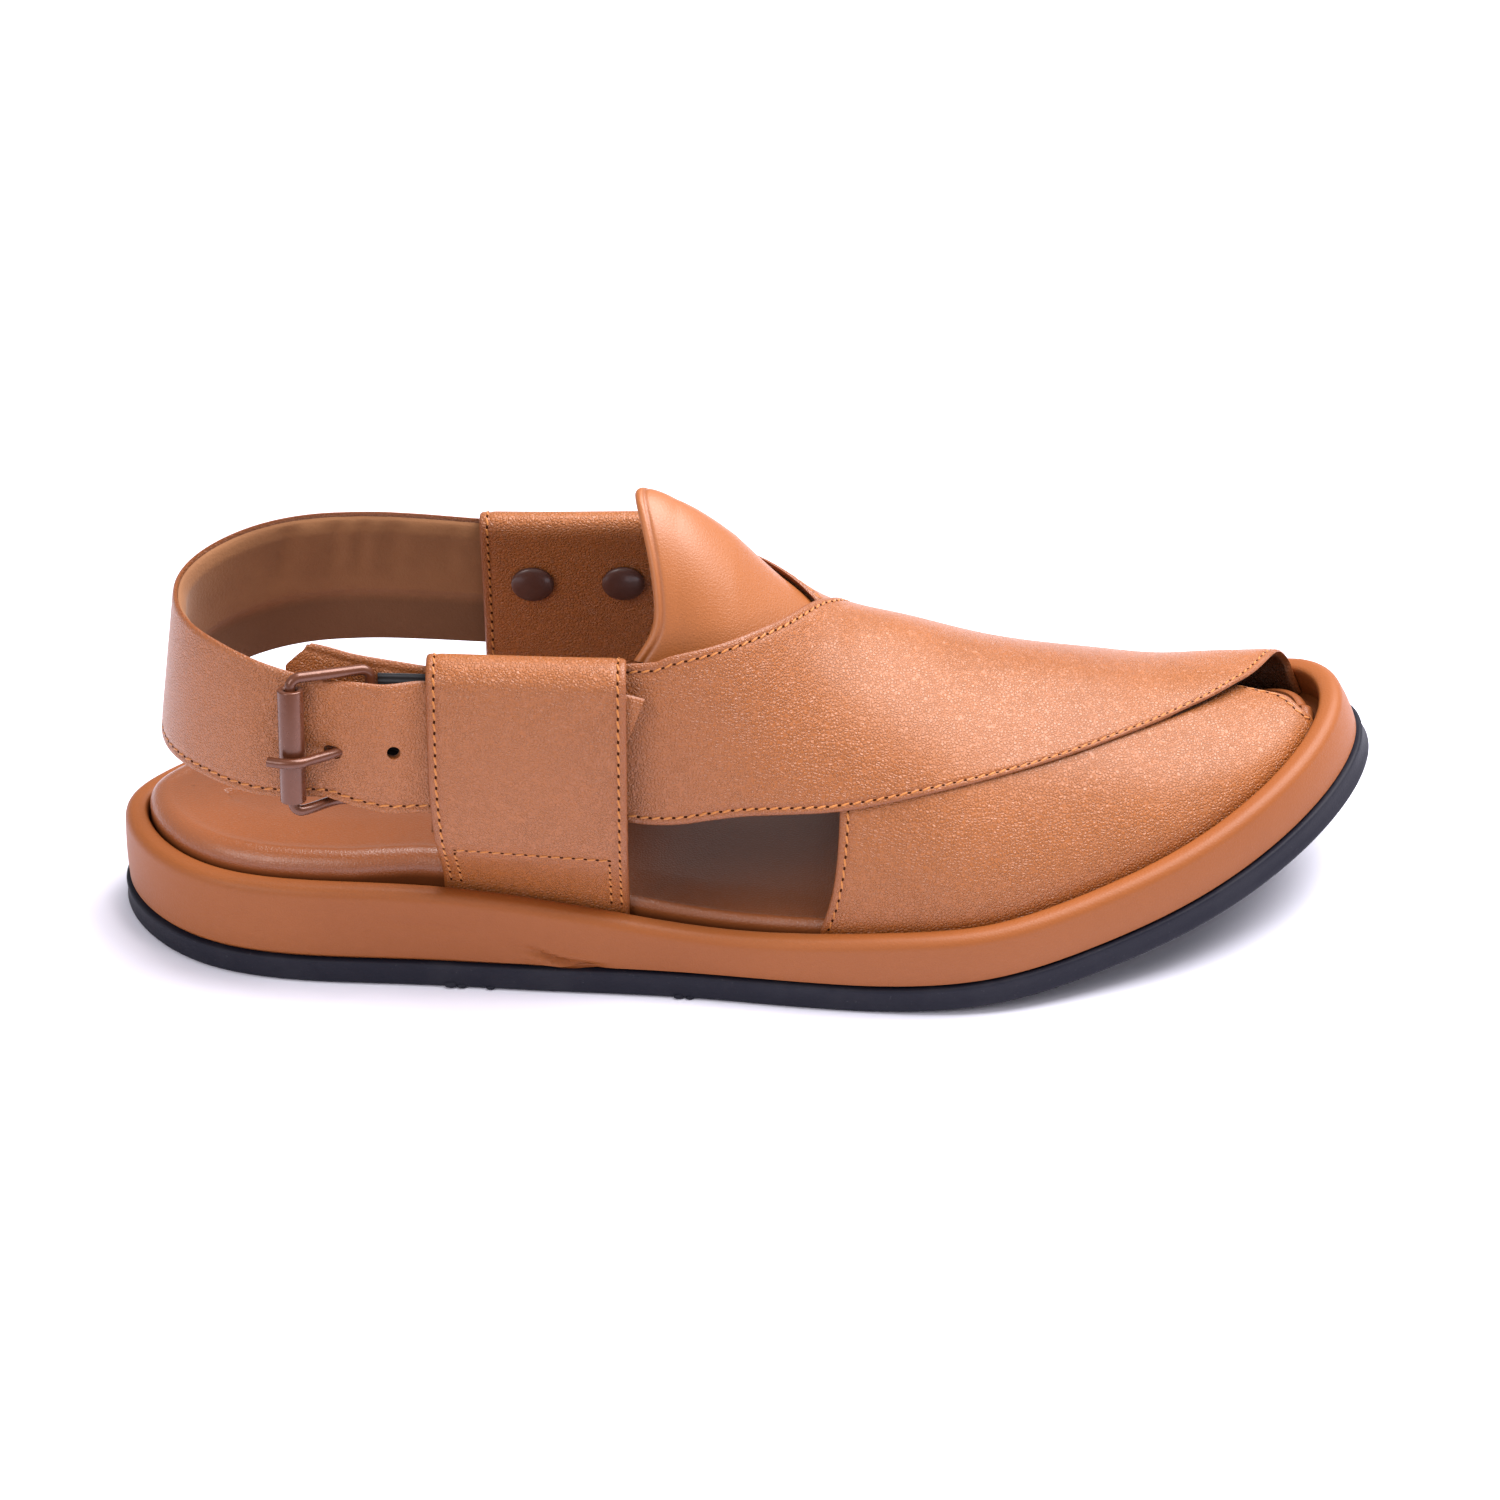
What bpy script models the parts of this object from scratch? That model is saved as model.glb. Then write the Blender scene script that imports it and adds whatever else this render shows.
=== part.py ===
"""Peshawari chappal: the right shoe of a pair, standing unbent on its sole. All sizes are in metres.

Shoe frame: x runs from the back of the heel to the toe, y from the outer side to the inner side, and h is
the height above the floor curve. bend() lifts the toe, and stand_at_origin() centres the finished shoe.
The last is a set of arches over the rand: an angle of 0 degrees is the outer base, 90 the ridge and 180
the inner base. Straps, loops and buckle are stacked outwards from it, each one GAP from the next.
"""

import math

import bmesh
import bpy
import numpy as np
from mathutils import Matrix, Vector

# Main sizes
LENGTH = 0.290
BALL_WIDTH = 0.102
INSTEP_RISE = 0.090
TOE_SPRING = 0.028
SPRING_START = 0.57
GAP = 0.0003

# Sole sizes; HEEL_PAD_END and TAIL_START are shares of LENGTH
OUTSOLE_THICKNESS = 0.006
OUTSOLE_CHAMFER = 0.0008
OUTSOLE_WELT = 0.0010
RAND_HEIGHT = 0.0243
RAND_WIDTH = 0.0053
RAND_ROLL = 0.0016
SEAT_DEPTH = 0.007
HEEL_PAD_RISE = 0.0055
FOOTBED_CLEARANCE = 0.0006
HEEL_PAD_END = 0.19
TAIL_START = 0.24
BEAD_WIDTH = 0.0045
BEAD_DEPTH = 0.0008

# Leather walls and the stack of the side straps
PANEL_WALL = 0.0016
LAP_STEP = 0.0009
TONGUE_WALL = 0.0022
STRAP_WALL = 0.0024
ELASTIC_WALL = 0.0010
TOE_LIFT = 0.005

# Side loops: where each starts, how wide it is, and the heights of its slot
LOOP_WIDTH = 0.1510 * LENGTH
OUTER_LOOP_START = 0.2559 * LENGTH
INNER_LOOP_START = 0.2890 * LENGTH
OUTER_SLOT_TOP = 0.0782
INNER_SLOT_TOP = 0.0884
SLOT_BOTTOM = 0.0365

# Heel strap
STRAP_TOP = 0.0817
STRAP_WIDTH = 0.0367
STRAP_TIP = 0.0050
STRAP_OUTER_END = OUTER_LOOP_START + LOOP_WIDTH + STRAP_TIP
STRAP_INNER_END = INNER_LOOP_START + LOOP_WIDTH - 0.7 * STRAP_TIP
HEEL_TURN = 0.1793 * LENGTH
HEEL_BACK_TOP = 0.0783 * LENGTH
HEEL_BACK_BOTTOM = 0.0603 * LENGTH
STRAP_SLANT = 0.0035
HOLE_DIAMETER = 0.0030
HOLE_PITCH = 0.0124
PRONG_HOLE_STRETCH = 0.0028

# Buckle: it goes round the strap where the strap's top and width are these shares of the sizes above
STRAP_TOP_IN_BUCKLE = 0.933
STRAP_WIDTH_IN_BUCKLE = 0.738
BUCKLE_DROP = 0.0013
BUCKLE_CLEARANCE = 0.0008
WIRE_DIAMETER = 0.0024
BUCKLE_HEIGHT = STRAP_TOP_IN_BUCKLE * STRAP_TOP - STRAP_WIDTH_IN_BUCKLE * STRAP_WIDTH / 2 - BUCKLE_DROP
BUCKLE_HALF_WIDTH = STRAP_WIDTH_IN_BUCKLE * STRAP_WIDTH / 2 + WIRE_DIAMETER / 2 + BUCKLE_CLEARANCE
BUCKLE_LENGTH = 0.0164
BUCKLE_CORNER = 0.0020
ROLLER_DIAMETER = 0.0058
ROLLER_LENGTH = 2 * BUCKLE_HALF_WIDTH - 2 * WIRE_DIAMETER
PRONG_DROP = 0.0026
PRONG_DIAMETER = 0.0023
BAR_STATION = 0.2138 * LENGTH
PRONG_HOLE_STATION = BAR_STATION - 0.0076
ELASTIC_LENGTH = OUTER_LOOP_START + 0.2 * LOOP_WIDTH - BAR_STATION
ELASTIC_WIDTH = 0.0280
ELASTIC_RAISE = 0.0020
STUD_DIAMETER = 0.0090
STUD_RISE = 0.0016
STUD_HEIGHT = 0.0715
STUD_PITCH = 0.473 * LOOP_WIDTH

# Fineness of the meshes
RING_POINTS = 72
OVER_ROWS, OVER_COLUMNS = 36, 14
UNDER_ROWS, UNDER_COLUMNS = 31, 15
TONGUE_ROWS, TONGUE_COLUMNS = 20, 7
STRAP_STATIONS = 56
LOOP_STATIONS = 6
ROLLER_STEPS = 20
STUD_STEPS = 16

# Sole outline: place along LENGTH, outer and inner half widths as shares of BALL_WIDTH
OUTLINE = (
    # along, outer, inner
    (0.000, 0.000, 0.000),
    (0.028, -0.200, 0.160),
    (0.076, -0.312, 0.268),
    (0.152, -0.370, 0.335),
    (0.241, -0.387, 0.343),
    (0.345, -0.412, 0.338),
    (0.448, -0.436, 0.363),
    (0.534, -0.471, 0.422),
    (0.614, -0.495, 0.480),
    (0.690, -0.490, 0.505),
    (0.772, -0.422, 0.505),
    (0.852, -0.324, 0.485),
    (0.924, -0.181, 0.448),
    (0.972, -0.026, 0.388),
    (1.000, 0.205, 0.205),
)

# Rand and footbed: top of the rand as a share of RAND_HEIGHT, rise of the footbed over the rand as a share
# of HEEL_PAD_RISE
PLATFORM = (
    # along, rand, footbed
    (0.000, 1.00, 0.85),
    (0.100, 1.00, 0.85),
    (0.207, 1.00, 0.95),
    (0.293, 0.955, 0.95),
    (0.372, 0.835, 0.45),
    (0.452, 0.700, 0.20),
    (0.531, 0.690, 0.12),
    (0.607, 0.750, 0.00),
    (0.690, 0.750, -0.10),
    (0.830, 0.745, -0.30),
    (0.930, 0.740, -0.45),
    (1.000, 0.740, -0.50),
)

# Last: rise of the ridge over the rand as a share of INSTEP_RISE, its place across as a share of BALL_WIDTH,
# and the power of the arch, where 1 is an ellipse and more is leaner
LAST = (
    # along, rise, centre, power
    (0.138, 0.930, 0.000, 1.00),
    (0.345, 0.972, 0.000, 1.00),
    (0.414, 1.000, 0.000, 1.00),
    (0.434, 0.990, 0.002, 1.00),
    (0.462, 0.938, 0.005, 1.02),
    (0.500, 0.812, 0.012, 1.06),
    (0.524, 0.725, 0.016, 1.09),
    (0.552, 0.643, 0.020, 1.11),
    (0.631, 0.526, 0.039, 1.11),
    (0.728, 0.403, 0.059, 1.11),
    (0.817, 0.287, 0.078, 1.11),
    (0.862, 0.203, 0.106, 1.11),
    (0.900, 0.143, 0.127, 1.11),
    (0.938, 0.070, 0.150, 1.11),
    (0.976, 0.015, 0.172, 1.11),
)

# Over panel: from the inner base over the toes and the instep to the tab behind the buckle
OVER_PANEL = (
    # rear along, rear angle, front along, front angle, toe lift
    (0.562, 180, 0.952, 180, 0.0),
    (0.576, 150, 0.945, 140, 0.7),
    (0.572, 118, 0.929, 108, 0.7),
    (0.552, 92, 0.890, 84, 0.2),
    (0.521, 73, 0.803, 60, 0.0),
    (0.486, 59, 0.710, 47, 0.0),
    (0.448, 48, 0.600, 36, 0.0),
    (0.410, 40, 0.469, 19, 0.0),
    (0.334, 38, 0.345, 15, 0.0),
    (0.262, 38, 0.262, 14, 0.0),
    (0.169, 42, 0.162, 18, 0.0),
)

# Under panel: from the outer base over the toes and the instep to the tab in the inner loop
UNDER_PANEL = (
    # rear along, rear angle, front along, front angle, toe lift
    (0.555, 0, 0.964, 8, 0.0),
    (0.569, 30, 0.958, 40, 0.0),
    (0.566, 62, 0.924, 88, 0.0),
    (0.552, 88, 0.862, 110, 0.0),
    (0.524, 107, 0.786, 125, 0.0),
    (0.497, 120, 0.700, 135, 0.0),
    (0.469, 130, 0.600, 146, 0.0),
    (0.441, 138, 0.483, 159, 0.0),
    (0.369, 139, 0.379, 163, 0.0),
    (0.310, 139, 0.310, 164, 0.0),
)

# Tongue: its rear edge at each angle over the last
TONGUE_EDGE = (
    # angle, along
    (36, 0.432),
    (46, 0.424),
    (58, 0.433),
    (74, 0.429),
    (90, 0.417),
    (104, 0.421),
    (118, 0.437),
    (130, 0.443),
    (144, 0.450),
)
TONGUE_FRONT = 0.586

# Side loop slot: shares of the way up the slot and of the way out through the stack
SLOT = (
    # up, out
    (0.00, 0.45),
    (0.06, 0.00),
    (0.40, 0.00),
    (0.72, 0.00),
    (0.98, 0.00),
    (1.00, 0.15),
    (1.00, 0.85),
    (0.98, 1.00),
    (0.72, 1.00),
    (0.40, 1.00),
    (0.06, 0.98),
    (0.00, 0.80),
)

# Heel strap: way is 0 to 1 along the outer side, 1 to 2 round the heel and 2 to 3 along the inner side; top
# is a share of STRAP_TOP, width of STRAP_WIDTH, and lift is the share of the room that the buckle takes
HEEL_STRAP = (
    # way, top, width, lift
    (0.00, 0.885, 0.640, 0.00),
    (0.08, 0.900, 0.736, 0.00),
    (0.69, 0.918, 0.800, 0.00),
    (0.82, 0.922, 0.745, 1.00),
    (1.00, STRAP_TOP_IN_BUCKLE, STRAP_WIDTH_IN_BUCKLE, 1.00),
    (1.10, 0.958, 0.815, 1.00),
    (1.25, 0.986, 0.885, 0.60),
    (1.50, 1.010, 0.985, 0.30),
    (1.77, 1.056, 0.990, 0.00),
    (2.18, 1.082, 0.985, 0.00),
    (2.44, 1.062, 0.960, 0.00),
    (3.00, 1.060, 0.960, 0.00),
)


# Curves


def spline(knots, values, at, closed=False):
    """Cubic spline through values at knots, read at each place of at."""
    knots = np.asarray(knots, float)
    values = np.asarray(values, float)
    count = len(knots)
    step = np.diff(knots)
    slope = np.diff(values) / step
    system = np.zeros((count, count))
    right = np.zeros(count)
    for i in range(1, count - 1):
        system[i, i - 1:i + 2] = step[i - 1], 2 * (step[i - 1] + step[i]), step[i]
        right[i] = 6 * (slope[i] - slope[i - 1])
    if closed:
        system[0, 0], system[0, -1] = 1, -1
        system[-1, [0, 1, -2, -1]] = 2 * step[0], step[0], step[-1], 2 * step[-1]
        right[-1] = 6 * (slope[0] - slope[-1])
    else:
        system[0, 0] = system[-1, -1] = 1
    bend_of = np.linalg.solve(system, right)
    k = np.clip(np.searchsorted(knots, at, side="right") - 1, 0, count - 2)
    before = (knots[k + 1] - at) / step[k]
    after = 1 - before
    curve = (before ** 3 - before) * bend_of[k] + (after ** 3 - after) * bend_of[k + 1]
    return before * values[k] + after * values[k + 1] + curve * step[k] ** 2 / 6


def column(table, index, at, scale=1.0):
    """A column of a table, as a smooth function of the table's first column."""
    rows = np.array(table, float)
    return spline(rows[:, 0], rows[:, index] * scale, np.clip(at, rows[0, 0], rows[-1, 0]))


def eased(table, index, at):
    """A column of a table that eases from row to row and never swings past them."""
    rows = np.array(table, float)
    k = int(np.clip(np.searchsorted(rows[:, 0], at, side="right") - 1, 0, len(rows) - 2))
    share = np.clip((at - rows[k, 0]) / (rows[k + 1, 0] - rows[k, 0]), 0, 1)
    return rows[k, index] + (rows[k + 1, index] - rows[k, index]) * share ** 2 * (3 - 2 * share)


def outline(inset=0.0, count=RING_POINTS):
    """The sole's outline as a ring of x and y, counterclockwise from the heel, moved in by inset."""
    rows = np.array(OUTLINE)
    turn = np.arccos(1 - 2 * rows[:, 0])
    knots = np.concatenate([turn, 2 * math.pi - turn[-2::-1]])
    widths = np.concatenate([rows[:, 1], rows[-2::-1, 2]]) * BALL_WIDTH
    angle = np.arange(count) * 2 * math.pi / count

    def ring(at):
        return np.stack([LENGTH / 2 * (1 - np.cos(at)), spline(knots, widths, at % (2 * math.pi), True)], -1)

    tiny = 1e-3
    along = ring(angle + tiny) - ring(angle - tiny)
    along /= np.linalg.norm(along, axis=1, keepdims=True)
    inward = np.stack([-along[:, 1], along[:, 0]], -1)
    return ring(angle) + inward * np.reshape(inset, (-1, 1))


def rand_top(x):
    """Height of the rand's top over the floor curve."""
    return column(PLATFORM, 1, x / LENGTH, RAND_HEIGHT)


def footbed_top(x):
    """Height of the footbed's bead over the floor curve."""
    return rand_top(x) + column(PLATFORM, 2, x / LENGTH, HEEL_PAD_RISE)


def bend(points):
    """Turns x, y and h into a place in space, with the floor curve lifted at the toe."""
    x, y, h = np.moveaxis(np.asarray(points, float), -1, 0)
    run = LENGTH * (1 - SPRING_START)
    past = np.maximum(0, x - LENGTH * SPRING_START) / run
    tilt = np.arctan(2 * TOE_SPRING * past / run)
    return np.stack([x - h * np.sin(tilt), y, TOE_SPRING * past ** 2 + h * np.cos(tilt)], -1)


# Last

RAND_OUTER = OUTSOLE_WELT
RAND_INNER = RAND_OUTER + RAND_WIDTH
OUTER_BASE = RAND_INNER + GAP + PANEL_WALL
INNER_BASE = OUTER_BASE + LAP_STEP
LAST_X = np.linspace(0, LENGTH, 600)


def base_line(inset, inner):
    """Place across of the last's base at each LAST_X, on the outer or the inner side."""
    count = 400
    ring = outline(inset, count)
    half = ring[:count // 2 + 1]
    if inner:
        half = np.concatenate([ring[:1], ring[:count // 2 - 1:-1]])
    return np.interp(LAST_X, half[:, 0], half[:, 1])


LAST_RAND = rand_top(LAST_X)
LAST_RISE = column(LAST, 1, LAST_X / LENGTH, INSTEP_RISE)
LAST_CENTRE = column(LAST, 2, LAST_X / LENGTH, BALL_WIDTH)
LAST_POWER = np.interp(LAST_X / LENGTH, [row[0] for row in LAST], [row[3] for row in LAST])
LAST_OUTER = base_line(OUTER_BASE, False)
LAST_INNER = base_line(INNER_BASE, True)


def arch(x, angle):
    """A point of the last, as x, y and h."""
    centre = np.interp(x, LAST_X, LAST_CENTRE)
    power = np.interp(x, LAST_X, LAST_POWER)
    outer = np.interp(x, LAST_X, LAST_OUTER)
    inner = np.interp(x, LAST_X, LAST_INNER)
    across = np.where(angle < 90, outer, inner) - centre
    turn = np.radians(angle)
    y = centre + across * np.abs(np.cos(turn)) ** power
    h = np.interp(x, LAST_X, LAST_RAND) + np.interp(x, LAST_X, LAST_RISE) * np.abs(np.sin(turn)) ** power
    return np.stack([x, y, h], -1)


def over_last(x, angle, out):
    """A point at a distance out from the last, along its normal."""
    x, angle, out = np.broadcast_arrays(np.asarray(x, float), np.asarray(angle, float), out)
    tiny, tick = 0.0005, 1.0
    along = arch(x + tiny, angle) - arch(x - tiny, angle)
    round_it = arch(x, np.minimum(angle + tick, 180)) - arch(x, np.maximum(angle - tick, 0))
    normal = np.cross(along, round_it)
    normal /= np.linalg.norm(normal, axis=-1, keepdims=True)
    return arch(x, angle) + normal * out[..., None]


def wall(x, height, inner, out):
    """A point of the last's side at a height, out from the wall by a distance square to it."""
    x, height, out = np.broadcast_arrays(np.asarray(x, float), np.asarray(height, float), out)

    def across(level):
        rise = (level - np.interp(x, LAST_X, LAST_RAND)) / np.interp(x, LAST_X, LAST_RISE)
        power = np.interp(x, LAST_X, LAST_POWER)
        sine = np.clip(rise, 0, 1) ** (1 / power)
        centre = np.interp(x, LAST_X, LAST_CENTRE)
        base = np.interp(x, LAST_X, LAST_INNER if inner else LAST_OUTER)
        return centre + (base - centre) * (1 - sine ** 2) ** (power / 2)

    tick = 0.001
    lean = (across(height + tick) - across(height - tick)) / (2 * tick)
    side = 1 if inner else -1
    return np.stack([x, across(height) + side * out * np.sqrt(1 + lean ** 2), height], -1)


# Objects

PARTS = bpy.data.collections.new("peshawari_chappal")
CUTTERS = bpy.data.collections.new("cutters")


def clear_scene():
    """Removes the scene's objects and links the two collections."""
    for old in list(bpy.data.objects):
        bpy.data.objects.remove(old, do_unlink=True)
    bpy.context.scene.collection.children.link(PARTS)
    bpy.context.scene.collection.children.link(CUTTERS)


def material(name, colour, roughness, metallic=0.0):
    """A Principled material of a sub-part."""
    made = bpy.data.materials.new(name)
    made.use_nodes = True
    shader = made.node_tree.nodes["Principled BSDF"]
    shader.inputs["Base Color"].default_value = (*colour, 1)
    shader.inputs["Roughness"].default_value = roughness
    shader.inputs["Metallic"].default_value = metallic
    return made


def add(name, data, finish, collection=None):
    """Links a mesh or curve as a named object with its material."""
    data.materials.append(finish)
    made = bpy.data.objects.new(name, data)
    (collection or PARTS).objects.link(made)
    return made


def as_cutter(made):
    """Marks an object as a Boolean operand that isn't part of the shoe."""
    made.hide_render = True
    made.display_type = "WIRE"
    return made


def mesh_of(name, points, faces):
    """A mesh from points and faces, its faces turned outwards where it is closed."""
    shape = bmesh.new()
    corners = [shape.verts.new(point) for point in np.asarray(points).reshape(-1, 3)]
    for face in faces:
        shape.faces.new([corners[i] for i in face])
    if all(edge.is_manifold for edge in shape.edges):
        bmesh.ops.recalc_face_normals(shape, faces=shape.faces)
    data = bpy.data.meshes.new(name)
    shape.to_mesh(data)
    shape.free()
    data.shade_smooth()
    data.set_sharp_from_angle(angle=math.radians(35))
    return data


def stacked(name, rings):
    """A closed solid through rings of points, with strips across its first and last ring."""
    count = len(rings[0])
    faces = []
    for level in range(len(rings) - 1):
        low, high = level * count, (level + 1) * count
        for j in range(count):
            k = (j + 1) % count
            faces.append((low + j, low + k, high + k, high + j))
    for start in (0, (len(rings) - 1) * count):
        strips = [(0, 1, count - 1), (count // 2 - 1, count // 2, count // 2 + 1)]
        strips += [(j, j + 1, count - j - 1, count - j) for j in range(1, count // 2 - 1)]
        faces += [tuple(start + i for i in strip) for strip in strips]
    return mesh_of(name, np.concatenate(rings), faces)


def sheet(name, grid, flip=False):
    """An open surface over a grid of points."""
    rows, columns = grid.shape[:2]
    faces = []
    for r in range(rows - 1):
        for c in range(columns - 1):
            corner = r * columns + c
            face = (corner, corner + columns, corner + columns + 1, corner + 1)
            faces.append(face[::-1] if flip else face)
    return mesh_of(name, grid, faces)


def thicken(made, wall_size, outwards=True):
    """Gives a surface its wall."""
    solid = made.modifiers.new("wall", "SOLIDIFY")
    solid.thickness = wall_size
    solid.offset = 1 if outwards else -1
    solid.use_quality_normals = True


def join_or_cut(made, tool, operation):
    """A Boolean with an operand from the cutters' collection."""
    modifier = made.modifiers.new(operation.lower(), "BOOLEAN")
    modifier.operation = operation
    modifier.solver = "EXACT"
    modifier.object = tool


# Sole


def sole_ring(inset, height):
    """A ring of the sole at an inset, with its height worked out from x."""
    ring = outline(inset)
    return bend(np.column_stack([ring, np.broadcast_to(height(ring[:, 0]), len(ring))]))


def make_outsole(rubber):
    """Rubber unit with a chamfered tread edge."""
    levels = (
        (OUTSOLE_CHAMFER, 0.0),
        (0.0, OUTSOLE_CHAMFER),
        (0.0, OUTSOLE_THICKNESS - OUTSOLE_CHAMFER),
        (OUTSOLE_CHAMFER / 2, OUTSOLE_THICKNESS),
    )
    rings = [sole_ring(inset, lambda x, level=level: level) for inset, level in levels]
    add("outsole", stacked("outsole", rings), rubber)


def make_midsole(leather):
    """Wrapped platform: outer wall, rolled rand and the seat that holds the footbed."""
    foot = OUTSOLE_THICKNESS + GAP
    profile = (
        (RAND_OUTER + 0.3 * RAND_ROLL, lambda x: foot),
        (RAND_OUTER, lambda x: foot + RAND_ROLL),
        (RAND_OUTER - 0.1 * RAND_ROLL, lambda x: rand_top(x) - 2.2 * RAND_ROLL),
        (RAND_OUTER + 0.3 * RAND_ROLL, lambda x: rand_top(x) - 0.9 * RAND_ROLL),
        (RAND_OUTER + RAND_ROLL, lambda x: rand_top(x) - 0.2 * RAND_ROLL),
        (RAND_OUTER + RAND_WIDTH / 2, rand_top),
        (RAND_INNER - 0.4 * RAND_ROLL, lambda x: rand_top(x) - 0.35 * RAND_ROLL),
        (RAND_INNER, lambda x: rand_top(x) - RAND_ROLL),
        (RAND_INNER, lambda x: rand_top(x) - SEAT_DEPTH),
    )
    rings = [sole_ring(inset, height) for inset, height in profile]
    add("midsole", stacked("midsole", rings), leather)


def make_insole(leather):
    """Padded footbed with a rolled bead, clear of the strap tails beside it."""
    ring = outline()
    share = np.clip((ring[:, 0] / LENGTH - HEEL_PAD_END) / (TAIL_START - HEEL_PAD_END), 0, 1)
    inner_half = np.arange(RING_POINTS) > RING_POINTS // 2
    beside = np.where(inner_half, INNER_BASE, OUTER_BASE)
    side = RAND_INNER + FOOTBED_CLEARANCE + share * (beside - RAND_INNER)
    profile = (
        (BEAD_DEPTH, lambda x: rand_top(x) - SEAT_DEPTH + GAP),
        (0.0, lambda x: rand_top(x) - SEAT_DEPTH + GAP + BEAD_DEPTH),
        (0.0, lambda x: footbed_top(x) - 0.4 * BEAD_WIDTH),
        (0.15 * BEAD_WIDTH, lambda x: footbed_top(x) - 0.15 * BEAD_WIDTH),
        (0.5 * BEAD_WIDTH, footbed_top),
        (BEAD_WIDTH, lambda x: footbed_top(x) - BEAD_DEPTH),
        (1.6 * BEAD_WIDTH, lambda x: footbed_top(x) - 0.8 * BEAD_DEPTH),
        (3.0 * BEAD_WIDTH, lambda x: footbed_top(x) - 1.5 * BEAD_DEPTH),
    )
    rings = []
    for inset, height in profile:
        plan = outline(side + inset)
        rings.append(bend(np.column_stack([plan, height(plan[:, 0])])))
    add("insole", stacked("insole", rings), leather)


# Upper


def panel_grid(table, rows, columns, out):
    """A panel ruled between its rear and front edges, with a skirt that drops beside the footbed."""
    edges = np.array(table, float)
    at = np.linspace(0, len(edges) - 1, rows)
    rear_x, rear_angle, front_x, front_angle, lift = (
        spline(np.arange(len(edges)), edges[:, i], at)[:, None] for i in range(5)
    )
    rear_angle = np.clip(rear_angle, 0, 180)
    front_angle = np.clip(front_angle, 0, 180)
    across = np.linspace(0, 1, columns)[None, :]
    x = LENGTH * (rear_x + (front_x - rear_x) * across)
    angle = rear_angle + (front_angle - rear_angle) * across
    raised = np.clip((across - 0.5) / 0.5, 0, 1) ** 2 * np.clip(lift, 0, None) * TOE_LIFT
    grid = over_last(x, angle, out + raised)
    foot = grid[0].copy()
    foot[:, 2] = rand_top(foot[:, 0]) - RAND_ROLL
    skirt = foot.copy()
    skirt[:, 2] = rand_top(foot[:, 0]) - SEAT_DEPTH + GAP
    return bend(np.concatenate([skirt[None], foot[None], grid[1:]]))


def make_upper(leather):
    """Two crossing panels joined where they cross."""
    over = sheet("upper", panel_grid(OVER_PANEL, OVER_ROWS, OVER_COLUMNS, LAP_STEP))
    upper = add("upper", over, leather)
    thicken(upper, PANEL_WALL)
    under = sheet("under_panel", panel_grid(UNDER_PANEL, UNDER_ROWS, UNDER_COLUMNS, 0.0), flip=True)
    panel = as_cutter(add("under_panel", under, leather, CUTTERS))
    thicken(panel, PANEL_WALL)
    join_or_cut(upper, panel, "UNION")


def make_tongue(leather):
    """Instep piece under the crossing: behind the loops it lies deeper, to clear their inner layer."""
    table = np.array(TONGUE_EDGE, float)
    angle = np.linspace(table[0, 0], table[-1, 0], TONGUE_ROWS)[::-1, None]
    rear = spline(table[:, 0], table[:, 1], angle)
    share = np.linspace(0, 1, TONGUE_COLUMNS)[None, :]
    x = LENGTH * (rear + (TONGUE_FRONT - rear) * share)
    behind_loops = -(GAP + PANEL_WALL + GAP)
    depth = np.interp(x / LENGTH, [0.448, 0.490], [behind_loops, -GAP])
    grid = over_last(x, angle, depth)
    tongue = add("tongue", sheet("tongue", bend(grid)), leather)
    thicken(tongue, TONGUE_WALL, outwards=False)


# Side loops


def grown(polygon, distance):
    """A polygon in the plane moved outwards by a distance, corner by corner."""
    ahead = np.roll(polygon, -1, axis=0) - polygon
    area = np.sum(polygon[:, 0] * np.roll(polygon[:, 1], -1) - np.roll(polygon[:, 0], -1) * polygon[:, 1])
    normal = np.stack([ahead[:, 1], -ahead[:, 0]], -1) * np.sign(area)
    normal /= np.linalg.norm(normal, axis=1, keepdims=True)
    before = np.roll(normal, 1, axis=0)
    corner = normal + before
    corner /= np.sum(corner * normal, axis=1, keepdims=True)
    return polygon + corner * distance


def loop_section(x, inner, slot_top, stack):
    """One section of a loop across the foot: outer ring, slot ring and the tail down to the seat."""
    up, out = np.array(SLOT).T
    height = SLOT_BOTTOM + up * (slot_top - SLOT_BOTTOM)
    slot = wall(x, height, inner, stack[0] + out * (stack[1] - stack[0]))[:, 1:]
    ring = grown(slot, PANEL_WALL)
    top = rand_top(x)
    tail_out = PANEL_WALL + (LAP_STEP if inner else 0.0)
    tail = []
    for height, flare in ((top + 0.5 * (SLOT_BOTTOM - top), 0.6), (top, 0.0), (top - SEAT_DEPTH + GAP, 0.0)):
        for depth in (tail_out, tail_out - PANEL_WALL):
            level = max(height, top)
            point = wall(x, level, inner, depth + flare * PANEL_WALL)
            tail.append((point[1], height))
    section = np.concatenate([ring, slot, np.array(tail)])
    return np.column_stack([np.full(len(section), x), section])


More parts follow.
